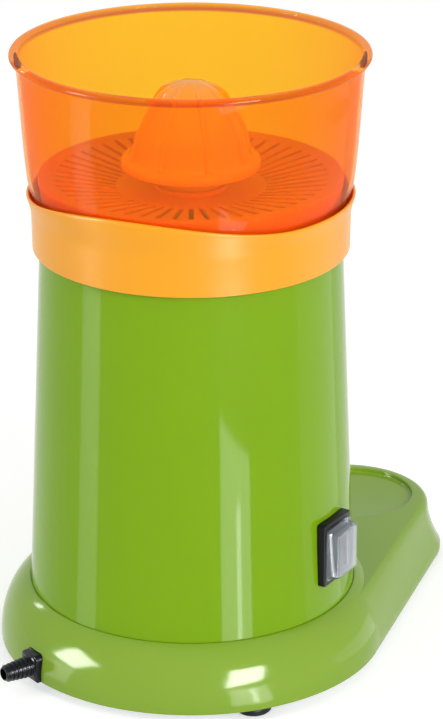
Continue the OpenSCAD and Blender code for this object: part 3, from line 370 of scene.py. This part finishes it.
# It is hollow from below, with a cup under the recess and an opening up into the housing
recess_middle = axis - Vector((0, recess_y, 0))
hollow = base_form("hollow", base_wall, 0)
cut_round(hollow, "cup", recess_middle, disc(recess_r + base_wall, recess_floor - base_wall, tool_top))
combine(base, hollow, "DIFFERENCE")
cut_round(base, "opening", axis, disc(opening_r, tool_bottom, tool_top))
recess = [(0, recess_floor)]
recess += arc(recess_r - floor_rounding, recess_floor + floor_rounding, floor_rounding, -90, 0)
recess += arc(recess_r + rim_rounding, base_top - rim_rounding, rim_rounding, 180, 90)
recess += [(recess_r + rim_rounding, tool_top), (0, tool_top)]
cut_round(base, "recess", recess_middle, recess)

# The cable gland's flange stands in a notch with a rounded top
notch = block("notch", notch_in, notch_out, notch_w, notch_h)
bevel_edges(lambda e: along_x(e) and e.verts[0].co.z > 0, notch_rounding, 6)
bpy.ops.object.mode_set(mode="OBJECT")
place(notch, 0, gland_turn, notch_z)
combine(base, notch, "DIFFERENCE")
work_on(base)
bpy.ops.object.mode_set(mode="EDIT")
close(base)

# Moulded plastics share a faint flow of colour, a rippled gloss and the fine texture of the mould
moulded, given, out = add_group("moulded plastic", ["Flow", "Ripple", "Grain", "Depth"])
where = add_node(moulded, "ShaderNodeTexCoord").outputs["Object"]
flow = add_node(moulded, "ShaderNodeTexNoise", Scale=14.0, Detail=2.0, Distortion=0.6)
ripple = add_node(moulded, "ShaderNodeTexNoise", Scale=45.0, Detail=3.0)
grain = add_node(moulded, "ShaderNodeTexNoise", Detail=1.0)
for pattern in (flow, ripple, grain):
    moulded.links.new(where, pattern.inputs["Vector"])
moulded.links.new(given["Grain"], grain.inputs["Scale"])
moulded.links.new(tint(moulded, given, flow.outputs["Fac"], "Flow"), out["Color"])
moulded.links.new(vary(moulded, given["Roughness"], ripple.outputs["Fac"], given["Ripple"]), out["Roughness"])
moulded.links.new(bump(moulded, grain.outputs["Fac"], given["Depth"], 0.0002), out["Normal"])

base_green = make_material("green base gloss", moulded, rgb(136, 171, 52), 0.12,
                           {"Flow": 0.05, "Ripple": 0.05, "Grain": 70, "Depth": 0.02},
                           Specular_IOR_Level=0.22)
fit(base, base_green, "housing", "base_shell")

# Motor housing. A tapered green tube with a closed deck, moulded in one piece and polished to a mirror
# gloss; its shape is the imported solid's own.
housing_green = make_material("green housing gloss", moulded, rgb(126, 169, 5), 0.07,
                              {"Flow": 0.05, "Ripple": 0.03, "Grain": 60, "Depth": 0.015},
                              Specular_IOR_Level=0.15)
dress(housing_green, "motor_housing")

# Motor inside. Die-cast brackets hold two ball bearings, a varnished stack of laminations and copper
# windings, in which the rotor turns on a ground steel spindle with a nylon fan below.
machined, given, out = add_group("machined metal", ["Marks", "Contrast", "Depth"])
where = add_node(machined, "ShaderNodeTexCoord").outputs["Object"]
around = add_node(machined, "ShaderNodeMapping")
around.inputs["Scale"].default_value = (1, 1, 60)
marks = add_node(machined, "ShaderNodeTexNoise", Detail=3.0)
machined.links.new(where, around.inputs["Vector"])
machined.links.new(around.outputs[0], marks.inputs["Vector"])
machined.links.new(given["Marks"], marks.inputs["Scale"])
machined.links.new(tint(machined, given, marks.outputs["Fac"], "Contrast"), out["Color"])
gloss = vary(machined, given["Roughness"], marks.outputs["Fac"], given["Contrast"])
machined.links.new(gloss, out["Roughness"])
machined.links.new(bump(machined, marks.outputs["Fac"], given["Depth"], 0.0001), out["Normal"])

steel = make_material("ground steel", machined, rgb(205, 207, 211), 0.2,
                      {"Marks": 30, "Contrast": 0.15, "Depth": 0.1}, Metallic=1.0)
bearing_steel = make_material("bearing steel", machined, rgb(214, 216, 220), 0.14,
                              {"Marks": 45, "Contrast": 0.12, "Depth": 0.06}, Metallic=1.0)
laminated = make_material("varnished laminations", machined, rgb(112, 110, 108), 0.42,
                          {"Marks": 34, "Contrast": 0.5, "Depth": 0.5}, Metallic=0.8, Coat_Weight=0.4)
cast = make_material("die-cast alloy", plated, rgb(176, 179, 183), 0.48,
                     {"Flakes": 500, "Contrast": 0.2, "Depth": 0.35}, Metallic=1.0)
can = make_material("drawn can", machined, rgb(204, 207, 211), 0.3,
                    {"Marks": 12, "Contrast": 0.16, "Depth": 0.08}, Metallic=1.0)
brass = make_material("brass screw", plated, rgb(205, 172, 96), 0.28,
                      {"Flakes": 1100, "Contrast": 0.14, "Depth": 0.1}, Metallic=1.0)
nylon = make_material("natural nylon", moulded, rgb(226, 224, 214), 0.45,
                      {"Flow": 0.06, "Ripple": 0.1, "Grain": 500, "Depth": 0.1}, Subsurface_Weight=0.15,
                      Subsurface_Scale=0.002)
dress(steel, "spindle")
dress(bearing_steel, "upper_bearing", "lower_bearing")
dress(laminated, "stator_core", "rotor")
dress(cast, "upper_motor_bracket", "lower_motor_bracket")
dress(can, "run_capacitor")
dress(zinc, "capacitor_clip")
dress(brass, "terminal_screws")
dress(nylon, "cooling_fan", "terminal_block", "gland_clamp", "drive_hub")

# Windings. Enamelled copper wire lies round the bore in close turns under a coat of varnish, so the pattern
# goes by the distance from the shaft and the height.
copper = bpy.data.materials.new("wound copper")
copper.use_nodes = True
tree = copper.node_tree
metal = tree.nodes["Principled BSDF"]
for socket, value in (("Metallic", 0.9), ("Roughness", 0.35), ("Coat Weight", 0.6), ("Coat Roughness", 0.15)):
    metal.inputs[socket].default_value = value
centre = add_node(tree, "ShaderNodeMapping")
centre.inputs["Location"].default_value = (-axis.x, -axis.y, 0)
tree.links.new(add_node(tree, "ShaderNodeTexCoord").outputs["Object"], centre.inputs["Vector"])
flat = add_node(tree, "ShaderNodeVectorMath", operation="MULTIPLY")
flat.inputs[1].default_value = (1, 1, 0)
tree.links.new(centre.outputs[0], flat.inputs[0])
radius = add_node(tree, "ShaderNodeVectorMath", operation="LENGTH")
tree.links.new(flat.outputs[0], radius.inputs[0])
height = add_node(tree, "ShaderNodeSeparateXYZ")
tree.links.new(centre.outputs[0], height.inputs[0])
lay = add_node(tree, "ShaderNodeCombineXYZ")
tree.links.new(radius.outputs["Value"], lay.inputs["X"])
tree.links.new(height.outputs["Z"], lay.inputs["Z"])
wires = add_node(tree, "ShaderNodeTexVoronoi", Scale=900.0, Randomness=0.35)
tree.links.new(lay.outputs[0], wires.inputs["Vector"])
# A mix node keeps its two colours and their blend in these sockets
first_color, second_color, blended = 6, 7, 2
# Painted shade: the turns take the lighter enamel colour, and the grooves between them are painted darker
wire_tone_and_groove_shade = add_node(tree, "ShaderNodeMix", data_type="RGBA")
wire_tone_and_groove_shade.inputs[first_color].default_value = (*rgb(186, 104, 52), 1)
wire_tone_and_groove_shade.inputs[second_color].default_value = (*rgb(92, 40, 18), 1)
tree.links.new(wires.outputs["Distance"], wire_tone_and_groove_shade.inputs[0])
tree.links.new(wire_tone_and_groove_shade.outputs[blended], metal.inputs["Base Color"])
strands = add_node(tree, "ShaderNodeBump", Strength=0.6, Distance=0.0003, invert=True)
tree.links.new(wires.outputs["Distance"], strands.inputs["Height"])
tree.links.new(strands.outputs[0], metal.inputs["Normal"])
dress(copper, "stator_windings")

# Supply leads. Three wires in soft plastic sleeves, which take the mains from the clamp behind the gland to
# the terminal block.
lead = make_material("blue lead sleeve", moulded, rgb(44, 66, 148), 0.38,
                     {"Flow": 0.12, "Ripple": 0.1, "Grain": 700, "Depth": 0.1})
dress(lead, "supply_leads")

# Juice collector. An opaque orange moulding: a collar that drops over the housing, a sloping pan round a
# short chimney, an open spout at the front, and a lip round the bowl that rises in a wave at the rear.
collar_r, collar_in_r, skirt_z = 0.0874, 0.0848, 0.2397
collar_draft, skirt_rounding, skirt_chamfer = 0.0002, 0.0008, 0.0004
pan_r, pan_bottom, pan_floor, ledge_z, bowl_seat = 0.076, 0.2463, 0.25005, 0.259, 0.2617
pan_wall, pan_rounding, pan_slope, edge_chamfer = 0.0025, 0.003, 0.94, 0.0006
chimney_in_r, chimney_r, chimney_top, chimney_foot = 0.0135, 0.016, 0.266, 0.0015
lip_low, lip_wave, lip_wall, lip_gap, lip_step = 0.0096, 0.010, 0.0018, 0.0008, 0.0003
wave_middle, wave_half = 106.5, 66.0
spout_w, spout_flat, spout_from, spout_to = 0.021, 0.00245, 0.0853, 0.122
spout_level, spout_drop = 0.25704, 0.0095
channel_w, channel_rise, inlet_from, inlet_to, inlet_level = 0.0166, 0.0002, 0.070, 0.0877, 0.25655
bowl_foot, bowl_height, bowl_foot_r, bowl_r = 0.262, 0.088, 0.084, 0.0977
bowl_steps = [(0, 0), (0.023, 0.043), (0.068, 0.143), (0.125, 0.271), (0.182, 0.364), (0.261, 0.429),
              (0.409, 0.514), (0.636, 0.614), (0.875, 0.714)]


def soften(points, pieces=5):
    """Runs a smooth line through the points of an outline."""
    ends = [points[0]] + points + [points[-1]]
    line = []
    for a, b, c, d in zip(ends, ends[1:], ends[2:], ends[3:]):
        for i in range(pieces):
            t = i / pieces
            line.append(tuple(0.5 * (2 * q + (r - p) * t + (2 * p - 5 * q + 4 * r - s) * t ** 2
                                     + (3 * q - p - 3 * r + s) * t ** 3) for p, q, r, s in zip(a, b, c, d)))
    return line + [points[-1]]


bowl_width = bowl_r - bowl_foot_r
bowl_line = soften([(bowl_foot_r + bowl_width * s, bowl_foot + bowl_height * h) for h, s in bowl_steps])


def bowl_radius(z):
    """The bowl's outer radius at a height."""
    for (r0, z0), (r1, z1) in zip(bowl_line, bowl_line[1:]):
        if z <= z1:
            return r0 + (r1 - r0) * max(0, z - z0) / (z1 - z0)
    return bowl_line[-1][0]


def lip_radius(z):
    """The lip's outer radius at a height: it closes in on the bowl as it rises."""
    share = (z - bowl_seat) / (lip_low + lip_wave)
    spread = collar_r + lip_step - bowl_foot_r - lip_wall - lip_gap
    return bowl_radius(max(bowl_foot, z)) + lip_wall + lip_gap + spread * max(0, 1 - share) ** 1.5


lip_top = bowl_seat + lip_low
half = lip_wall / 2
crown = lip_top - half
lip_out = [(lip_radius(z), z) for z in [bowl_seat + (crown - bowl_seat) * i / 8 for i in range(9)]]
lip_in = [(r - lip_wall, z) for r, z in reversed(lip_out)]
outline = [(collar_in_r, skirt_z + skirt_chamfer), (collar_in_r + skirt_chamfer, skirt_z)]
outline += arc(collar_r - collar_draft - skirt_rounding, skirt_z + skirt_rounding, skirt_rounding, -90, 0)
outline += [(collar_r, ledge_z)] + lip_out + arc(lip_out[-1][0] - half, crown, half, 0, 180, 8)[1:-1] + lip_in
outline += [(pan_r + edge_chamfer, bowl_seat), (pan_r, bowl_seat - edge_chamfer),
            (pan_r, pan_floor + pan_rounding)]
outline += arc(pan_r - pan_rounding, pan_floor + pan_rounding, pan_rounding, 0, -90)[1:]
outline += [(chimney_r + chimney_foot, pan_floor), (chimney_r, pan_floor + chimney_foot),
            (chimney_r, chimney_top - edge_chamfer), (chimney_r - edge_chamfer, chimney_top),
            (chimney_in_r + edge_chamfer, chimney_top), (chimney_in_r, chimney_top - edge_chamfer),
            (chimney_in_r, pan_bottom), (pan_r + pan_wall, pan_bottom), (pan_r + pan_wall, ledge_z),
            (collar_in_r, ledge_z)]
collector = turn("collector_moulding", outline + outline[:1], axis, 240)

# The lip's wave follows its own curve, so its points are raised one by one
mesh = bmesh.from_edit_mesh(collector.data)
for v in mesh.verts:
    out_way = v.co.xy - axis.xy
    if v.co.z > bowl_seat + 1e-5 and out_way.length > pan_r + 0.002:
        off = (math.degrees(math.atan2(out_way.y, out_way.x)) - wave_middle + 540) % 360 - 180
        rise = lip_wave * math.cos(math.radians(90 * off / wave_half)) ** 2 if abs(off) < wave_half else 0
        z = v.co.z + rise * min(1, (v.co.z - bowl_seat) / (crown - bowl_seat))
        shift = lip_radius(z) - lip_radius(v.co.z)
        v.co.xy += out_way.normalized() * shift
        v.co.z = z
bmesh.update_edit_mesh(collector.data)

# The pan's floor falls to the spout
pick("VERT", lambda v: abs(v.co.z - pan_floor) < chimney_foot + 1e-4
     and chimney_r - 1e-4 < (v.co.xy - axis.xy).length < pan_r - 0.001)
bpy.ops.transform.rotate(value=math.radians(-pan_slope), orient_axis="X",
                         center_override=axis + Vector((0, 0, pan_floor)))
close(collector)


def spout_bar(name, width, start, end, level, drop):
    """A bar with the spout's section, round below and flat above, from one reach to another."""
    r = width / 2
    edge = [(r, spout_flat)] + [(r * math.cos(a), r * math.sin(a))
                                for a in (math.radians(-10 * i) for i in range(19))] + [(-r, spout_flat)]
    bar = draw(name, [(axis.x + x, axis.y - start, level + z) for x, z in edge])
    bpy.ops.mesh.edge_face_add()
    bpy.ops.mesh.extrude_region_move(TRANSFORM_OT_translate={"value": (0, start - end, -drop)})
    return close(bar, 40)


combine(collector, spout_bar("spout", spout_w, spout_from, spout_to, spout_level, spout_drop), "UNION")
combine(collector, spout_bar("inlet", channel_w, inlet_from, inlet_to, inlet_level, 0), "DIFFERENCE")
combine(collector, spout_bar("channel", channel_w, spout_from, spout_to + 0.0005, spout_level + channel_rise,
                             spout_drop + channel_rise), "DIFFERENCE")
work_on(collector)
collar_orange = make_material("orange collar", moulded, rgb(250, 167, 28), 0.3,
                              {"Flow": 0.04, "Ripple": 0.1, "Grain": 130, "Depth": 0.05},
                              Specular_IOR_Level=0.25)
fit(collector, collar_orange, "collector", "collector")

# Bowl. Clear orange plastic, turned up from a narrow floor that sits on the collector to a wide mouth
# with a thick round bead.
bowl_top, bowl_floor_r, bead, bowl_wall = 0.35, 0.075, 0.0018, 0.002
neck_flare, neck_step, neck_soft, mouth_rounding, foot_curve = 0.0007, 0.0004, 0.0012, 0.0012, 0.0008
bead_foot = bowl_top - 2 * bead
neck = bowl_line[-1][0] + neck_flare
outer = bowl_line[:-1] + [(neck - neck_soft / 2, bowl_line[-1][1]), (neck, bead_foot - neck_soft)]
inner = [(r - bowl_wall, max(z, bowl_foot + bowl_wall)) for r, z in reversed(outer)
         if z > bowl_foot + foot_curve]
outline = [(bowl_floor_r, bowl_foot)] + outer + [(neck + neck_step, bead_foot)]
outline += arc(bowl_r - bead, bowl_top - bead, bead, -70, 90, 8)
outline += arc(neck - bowl_wall + mouth_rounding, bowl_top - mouth_rounding, mouth_rounding, 90, 180, 4)
outline += inner + [(bowl_floor_r, bowl_foot + bowl_wall)]
bowl = close(turn("juice_bowl", outline + outline[:1], axis, 200))

# Its bead is thick, so it is deeper in colour there, and so is a wall that is seen edge on
thin_orange, edge_orange, thick_orange = (0.96, 0.54, 0.03), (0.98, 0.27, 0.05), (0.62, 0.13, 0.06)
clear = make_material("clear orange", moulded, thin_orange, 0.03,
                      {"Flow": 0.03, "Ripple": 0.02, "Grain": 50, "Depth": 0.02},
                      Transmission_Weight=0.93, IOR=1.04, Coat_Weight=0.16, Coat_Roughness=0.02, Coat_IOR=1.5)
tree = clear.node_tree
height = add_node(tree, "ShaderNodeSeparateXYZ")
tree.links.new(add_node(tree, "ShaderNodeTexCoord").outputs["Object"], height.inputs[0])
up_bead = add_node(tree, "ShaderNodeMapRange", From_Min=bead_foot - 0.001, From_Max=bowl_top)
tree.links.new(height.outputs["Z"], up_bead.inputs["Value"])
depth = add_node(tree, "ShaderNodeValToRGB")
for share in (0.24, 0.5):
    depth.color_ramp.elements.new(share).color = (*thick_orange, 1)
depth.color_ramp.elements[0].color = depth.color_ramp.elements[-1].color = (*thin_orange, 1)
depth.color_ramp.elements[-1].position = 0.75
tree.links.new(up_bead.outputs["Result"], depth.inputs["Fac"])
slant = add_node(tree, "ShaderNodeLayerWeight", Blend=0.35)
deeper = add_node(tree, "ShaderNodeMix", data_type="RGBA", blend_type="MIX")
tree.links.new(slant.outputs["Facing"], deeper.inputs["Factor"])
tree.links.new(depth.outputs["Color"], deeper.inputs[first_color])
deeper.inputs[second_color].default_value = (*edge_orange, 1)
group = [n for n in tree.nodes if n.type == "GROUP"][0]
tree.links.new(deeper.outputs[blended], group.inputs["Color"])
fit(bowl, clear, "bowl", "bowl")

# Strainer. A dished orange disc with a ring of radial slots, resting in the bowl. Its shape is the packed
# solid's own, in a plastic that lets a little light in.
strainer_orange = make_material("orange strainer", moulded, rgb(252, 128, 44), 0.34,
                                {"Flow": 0.05, "Ripple": 0.12, "Grain": 220, "Depth": 0.06},
                                Subsurface_Weight=0.2, Subsurface_Scale=0.004)
dress(strainer_orange, "strainer")

# Reamer. An orange cone with a stepped flange, ribs that fade out at its tip, and a bored boss below that
# slips over the nylon hub. One eighth is shaped and repeated round.
cone_foot, cone_height, cone_r = 0.2842, 0.0485, 0.0385
cone_steps = [(0.0, 0.97), (0.015, 0.995), (0.03, 1.0), (0.09, 0.99), (0.108, 0.972), (0.125, 0.865),
              (0.16, 0.832), (0.26, 0.795), (0.36, 0.765), (0.42, 0.745), (0.49, 0.705), (0.62, 0.62),
              (0.7, 0.56), (0.8, 0.485), (0.88, 0.4), (0.94, 0.29), (0.985, 0.14), (1.0, 0.0)]
ribs, rib_height, rib_half_width, rib_direction = 8, 0.0024, 0.0015, 11.0
rib_pitch = 360 / ribs
rib_start, rib_rise, rib_fade = 0.118, 0.02, 0.09
boss_foot, boss_in_r, boss_out_r, boss_bore, wall_share = 0.268, 0.0146, 0.017, 0.026, 0.95
flange = [(cone_r * s, cone_foot + cone_height * h) for h, s in cone_steps[:5]]
cone = soften([(cone_r * s, cone_foot + cone_height * h) for h, s in cone_steps[5:]], 6)
boss = [(boss_in_r, boss_foot), (boss_out_r, boss_foot), (boss_out_r, cone_foot)]
eighth = turn("reamer_cone", boss + [(cone_r * wall_share, cone_foot)] + flange + cone, axis, 48,
              rib_direction - rib_pitch / 2, rib_pitch)
mesh = bmesh.from_edit_mesh(eighth.data)
for v in mesh.verts:
    out_way = v.co.xy - axis.xy
    share = (v.co.z - cone_foot) / cone_height
    if share > rib_start and out_way.length > 1e-5:
        off = math.radians(math.degrees(math.atan2(out_way.y, out_way.x)) - rib_direction)
        across = abs(out_way.length * off) / rib_half_width
        fade = min(1, (share - rib_start) / rib_rise) * min(1, max(0, (1.0 - share) / rib_fade))
        if across < 1:
            v.co.xy += out_way.normalized() * rib_height * fade * math.cos(math.radians(90 * across)) ** 0.8
bmesh.update_edit_mesh(eighth.data)
bpy.ops.mesh.select_all(action="SELECT")
bpy.ops.mesh.spin(steps=ribs - 1, angle=math.radians(360 - rib_pitch), center=axis, axis=(0, 0, -1),
                  dupli=True)
bpy.ops.mesh.select_all(action="SELECT")
bpy.ops.mesh.remove_doubles(threshold=touching)
pick("EDGE", lambda e: e.is_boundary)
bpy.ops.mesh.extrude_region_move(TRANSFORM_OT_translate={"value": (0, 0, boss_bore)})
bpy.ops.mesh.edge_face_add()
close(eighth, 40)
cone_orange = make_material("orange reamer", moulded, rgb(255, 158, 6), 0.16,
                            {"Flow": 0.05, "Ripple": 0.1, "Grain": 160, "Depth": 0.05},
                            Subsurface_Weight=0.04, Subsurface_Scale=0.005)
fit(eighth, cone_orange, "reamer", "reamer")

# Switch. A black nylon surround snaps into the housing, a rocker tilts in its window, and a clear
# silicone hood seals it against juice. Each is shaped facing +X and then put in its place.
switch_turn, switch_r, switch_z = -171.6, 0.0906976, 0.0775
surround_w, surround_h, surround_d, surround_back = 0.0285, 0.037, 0.0036, 0.0013
window_w, window_h, through = 0.0213, 0.0262, 0.02
surround = block("switch_surround", -surround_back, surround_d, surround_w, surround_h)
bevel_edges(along_x, 0.0015, 5)
bevel_edges(lambda e: all(v.co.x > surround_d - touching for v in e.verts), 0.0006, 3)
close(surround)
window = block("window", -through, through, window_w, window_h)
bevel_edges(along_x, 0.0008, 3)
combine(surround, close(window), "DIFFERENCE")
work_on(surround)
bpy.ops.object.mode_set(mode="EDIT")
bevel_edges(lambda e: all(v.co.x > surround_d - touching and abs(v.co.y) < window_w / 2 + 1e-5
                          and abs(v.co.z) < window_h / 2 + 1e-5 for v in e.verts), 0.0004, 2)
close(surround)
place(surround, switch_r, switch_turn, switch_z)
switch_black = make_material("black nylon", moulded, rgb(5, 7, 10), 0.34,
                             {"Flow": 0.2, "Ripple": 0.16, "Grain": 420, "Depth": 0.12},
                             Specular_IOR_Level=0.2)
fit(surround, switch_black, "housing", "switch_bezel")
dress(switch_black, "switch_body")

# The rocker's key is dished on both halves and stands tilted in its rest position
key_w, key_h, key_back, key_belly, key_tilt, key_out = 0.0195, 0.0244, -0.001, -0.0016, 7, 0.0004
key_rim, key_dish, key_middle = 0.0036, 0.0024, 0.0017
profile = [(key_back, -key_h / 2), (key_rim, -key_h / 2), (key_dish, -key_h / 4), (key_middle, 0),
           (key_dish, key_h / 4), (key_rim, key_h / 2), (key_back, key_h / 2), (key_belly, 0)]
key = draw("switch_key", [(x, -key_w / 2, z) for x, z in profile])
bpy.ops.mesh.edge_face_add()
bpy.ops.mesh.extrude_region_move(TRANSFORM_OT_translate={"value": (0, key_w, 0)})
bevel_edges(lambda e: abs(e.verts[0].co.y - e.verts[1].co.y) < touching, 0.0004, 2)
close(key)
key.rotation_euler = (0, math.radians(key_tilt), 0)
key.location = (key_out, 0, 0)
bpy.ops.object.transform_apply(location=True, rotation=True, scale=True)
place(key, switch_r, switch_turn, switch_z)
fit(key, switch_black, "rocker", "switch_rocker")

# The hood is drawn up from a thin flange to a soft edged cap, and is hollow over the rocker
hood_w, hood_h, hood_d, hood_wall, hood_hollow = 0.0237, 0.0286, 0.0068, 0.0011, 0.0056
hood_taper, hollow_taper = (1, 0.916, 0.93), (1, 0.93, 0.94)
flange_w, flange_h, flange_d = 0.0257, 0.0306, 0.0010
hood = block("splash_hood", surround_d, surround_d + hood_d, hood_w, hood_h)
pick("FACE", lambda f: f.normal.x > 0.9)
bpy.ops.transform.resize(value=hood_taper)
bevel_edges(along_x, 0.0018, 4)
bevel_edges(lambda e: all(v.co.x > surround_d + 0.9 * hood_d for v in e.verts), 0.001, 4)
pick("FACE", lambda f: f.normal.x < -0.9)
bpy.ops.mesh.inset(thickness=hood_wall)
bpy.ops.mesh.extrude_region_move(TRANSFORM_OT_translate={"value": (hood_hollow, 0, 0)})
bpy.ops.transform.resize(value=hollow_taper)
close(hood, 50)
flange_ring = block("flange", surround_d, surround_d + flange_d, flange_w, flange_h)
bevel_edges(along_x, 0.002, 4)
close(flange_ring)
middle = block("hollow", surround_d - flange_d, surround_d + 2 * flange_d, window_w, window_h)
combine(flange_ring, close(middle), "DIFFERENCE")
combine(hood, flange_ring, "UNION")
place(hood, switch_r, switch_turn, switch_z)
silicone = make_material("clear silicone", moulded, rgb(226, 234, 246), 0.06,
                         {"Flow": 0.06, "Ripple": 0.1, "Grain": 160, "Depth": 0.1},
                         Transmission_Weight=0.93, IOR=1.15, Coat_Weight=1.0, Coat_Roughness=0.05)
fit(hood, silicone, "housing", "switch_cover")

# Cable gland. A black moulding with a rounded flange on the base and a ribbed boot that tapers away
# from it, bored for the mains cable.
gland_z, gland_face, cable_r = 0.01415, 0.1125, 0.0032
boot_len, boot_root, boot_tip, boot_back = 0.017, 0.0062, 0.0048, 0.0014
rings, first_ring, ring_height, ring_soft = 6, 0.4, 0.0008, 0.0004
plate_d, plate_w, plate_h = 0.0054, 0.0148, 0.0157
pitch = boot_len / (rings + 0.5)
outline = [(cable_r, -boot_back), (boot_root - ring_height, -boot_back), (boot_root - ring_height, ring_soft)]
for i in range(rings):
    start = pitch * (i + first_ring)
    end = start + pitch / 2
    r = boot_root + (boot_tip - boot_root) * (i + first_ring) / rings
    outline += [(r - ring_height, start), (r - ring_soft / 2, start + ring_soft / 4), (r, start + ring_soft)]
    outline += [(r, end - ring_soft), (r - ring_soft / 2, end - ring_soft / 4), (r - ring_height, end)]
outline += [(boot_tip - ring_height, boot_len - ring_soft), (boot_tip - ring_height - ring_soft, boot_len),
            (cable_r, boot_len)]
boot = close(turn("cable_boot", outline + outline[:1], Vector(), 64))
boot.rotation_euler = (0, math.radians(90), 0)
bpy.ops.object.transform_apply(location=True, rotation=True, scale=True)
plate = block("flange plate", -plate_d, 0, plate_w, plate_h)
bevel_edges(lambda e: along_x(e) and e.verts[0].co.z > 0, 0.003, 6)
bevel_edges(lambda e: all(v.co.x > -touching for v in e.verts), 0.0006, 3)
close(plate)
bore = block("bore", -through, through, 2 * cable_r, 2 * cable_r)
bevel_edges(along_x, cable_r - 0.0001, 8)
combine(plate, close(bore), "DIFFERENCE")
combine(boot, plate, "UNION")
place(boot, gland_face, gland_turn, gland_z)
gland_black = make_material("black gland", moulded, rgb(8, 13, 22), 0.22,
                            {"Flow": 0.2, "Ripple": 0.1, "Grain": 500, "Depth": 0.05},
                            Specular_IOR_Level=0.25)
fit(boot, gland_black, "housing", "cable_gland")

# Studio. The floor is plain and pale, the world is a white tent, two soft boxes stand beside the camera, and
# glowing cards show in the gloss. Light Path keeps the white behind the object and in its gloss and glass.
floor_glow, tent_light = 0.45, 0.62
box_distance, box_height, box_aim, pane = 1.7, 0.9, 0.2, 1.6
bpy.ops.object.select_all(action="DESELECT")
bpy.ops.mesh.primitive_plane_add(size=12, location=(0, 0, 0))
floor = bpy.context.object
floor.name = floor.data.name = "floor"
paper = bpy.data.materials.new("white paper")
paper.use_nodes = True
tree = paper.node_tree
sheet = tree.nodes["Principled BSDF"]
sheet.inputs["Base Color"].default_value = (0.8, 0.8, 0.8, 1)
sheet.inputs["Roughness"].default_value = 0.8
sheet.inputs["Specular IOR Level"].default_value = 0.1
sheet.inputs["Emission Strength"].default_value = 1.0


def seen_by(tree, strength):
    """One strength for rays from the camera and through gloss and glass, and none for the others."""
    path = add_node(tree, "ShaderNodeLightPath")
    value = path.outputs["Is Camera Ray"]
    for kind in ("Is Glossy Ray", "Is Transmission Ray"):
        both = add_node(tree, "ShaderNodeMath", operation="MAXIMUM")
        tree.links.new(value, both.inputs[0])
        tree.links.new(path.outputs[kind], both.inputs[1])
        value = both.outputs[0]
    scaled = add_node(tree, "ShaderNodeMath", operation="MULTIPLY")
    scaled.inputs[1].default_value = strength
    tree.links.new(value, scaled.inputs[0])
    return scaled.outputs[0]


tree.links.new(seen_by(tree, floor_glow), sheet.inputs["Emission Color"])
floor.data.materials.append(paper)

world = bpy.data.worlds.new("white tent")
world.use_nodes = True
tree = world.node_tree
tent = tree.nodes["Background"]
tent.inputs["Color"].default_value = (1, 1, 1, 1)
level = add_node(tree, "ShaderNodeMath", operation="ADD")
level.inputs[1].default_value = tent_light
tree.links.new(seen_by(tree, 1 - tent_light), level.inputs[0])
tree.links.new(level.outputs[0], tent.inputs["Strength"])
bpy.context.scene.world = world


def soft_box(name, azimuth, power):
    """A soft box beside the camera that faces the machine."""
    a = math.radians(azimuth)
    lamp = bpy.data.objects.new(name, bpy.data.lights.new(name, "AREA"))
    bpy.context.scene.collection.objects.link(lamp)
    lamp.data.shape = "RECTANGLE"
    lamp.data.size, lamp.data.size_y = 0.5, 0.9
    lamp.data.energy = power
    lamp.location = axis + Vector((box_distance * math.cos(a), box_distance * math.sin(a), box_height))
    aim = axis + Vector((0, 0, box_aim)) - lamp.location
    lamp.rotation_euler = aim.to_track_quat("-Z", "Y").to_euler()
    lamp.visible_camera = lamp.visible_glossy = False


def card(name, corners, strength):
    """A glowing card that only gloss can see, from four (azimuth, distance, height) corners."""
    bpy.ops.object.select_all(action="DESELECT")
    bpy.ops.mesh.primitive_plane_add(size=1)
    sheet = bpy.context.object
    sheet.name = sheet.data.name = name
    for i, (azimuth, distance, height) in zip((0, 1, 3, 2), corners):
        a = math.radians(azimuth)
        sheet.data.vertices[i].co = axis + Vector((distance * math.cos(a), distance * math.sin(a), height))
    glow = bpy.data.materials.new(name)
    glow.use_nodes = True
    shine = glow.node_tree.nodes["Principled BSDF"]
    shine.inputs["Base Color"].default_value = (0, 0, 0, 1)
    shine.inputs["Emission Color"].default_value = (1, 1, 1, 1)
    shine.inputs["Emission Strength"].default_value = strength
    sheet.data.materials.append(glow)
    sheet.visible_camera = sheet.visible_diffuse = sheet.visible_transmission = sheet.visible_shadow = False


soft_box("key box", 163, 14)
soft_box("side box", 58, 6)
# The panes show as the bright patches on the base
card("key pane", [(147.5, pane, 0.06), (169, pane, 0.18), (173, pane, 0.76), (152.6, pane, 0.81)], 44)
card("side pane", [(44.5, pane, 0.14), (60, pane, 0.03), (74, pane, 0.46), (54, pane, 0.88)], 34)
card("far pane", [(-3, pane, 0.82), (0, pane, 0.9), (-7, pane, 1.12), (-12, pane, 1.12)], 20)
# The strips on the floor show as upright bands in the housing
card("key strip", [(143, 0.13, 0.002), (157.2, 0.128, 0.002), (168, 0.515, 0.002), (148.5, 0.619, 0.002)], 7)
card("key core", [(150.4, 0.129, 0.003), (152.5, 0.129, 0.003), (160.7, 0.417, 0.003), (157.9, 0.417, 0.003)],
     20)
card("right strip", [(195, 0.175, 0.002), (225, 0.145, 0.002), (255, 0.94, 0.002), (211, 0.97, 0.002)], 1.7)
card("side strip", [(70.3, 0.131, 0.002), (82, 0.134, 0.002), (62.4, 0.875, 0.002), (45.7, 0.867, 0.002)],
     2.6)

bpy.context.scene.view_settings.view_transform = "Standard"
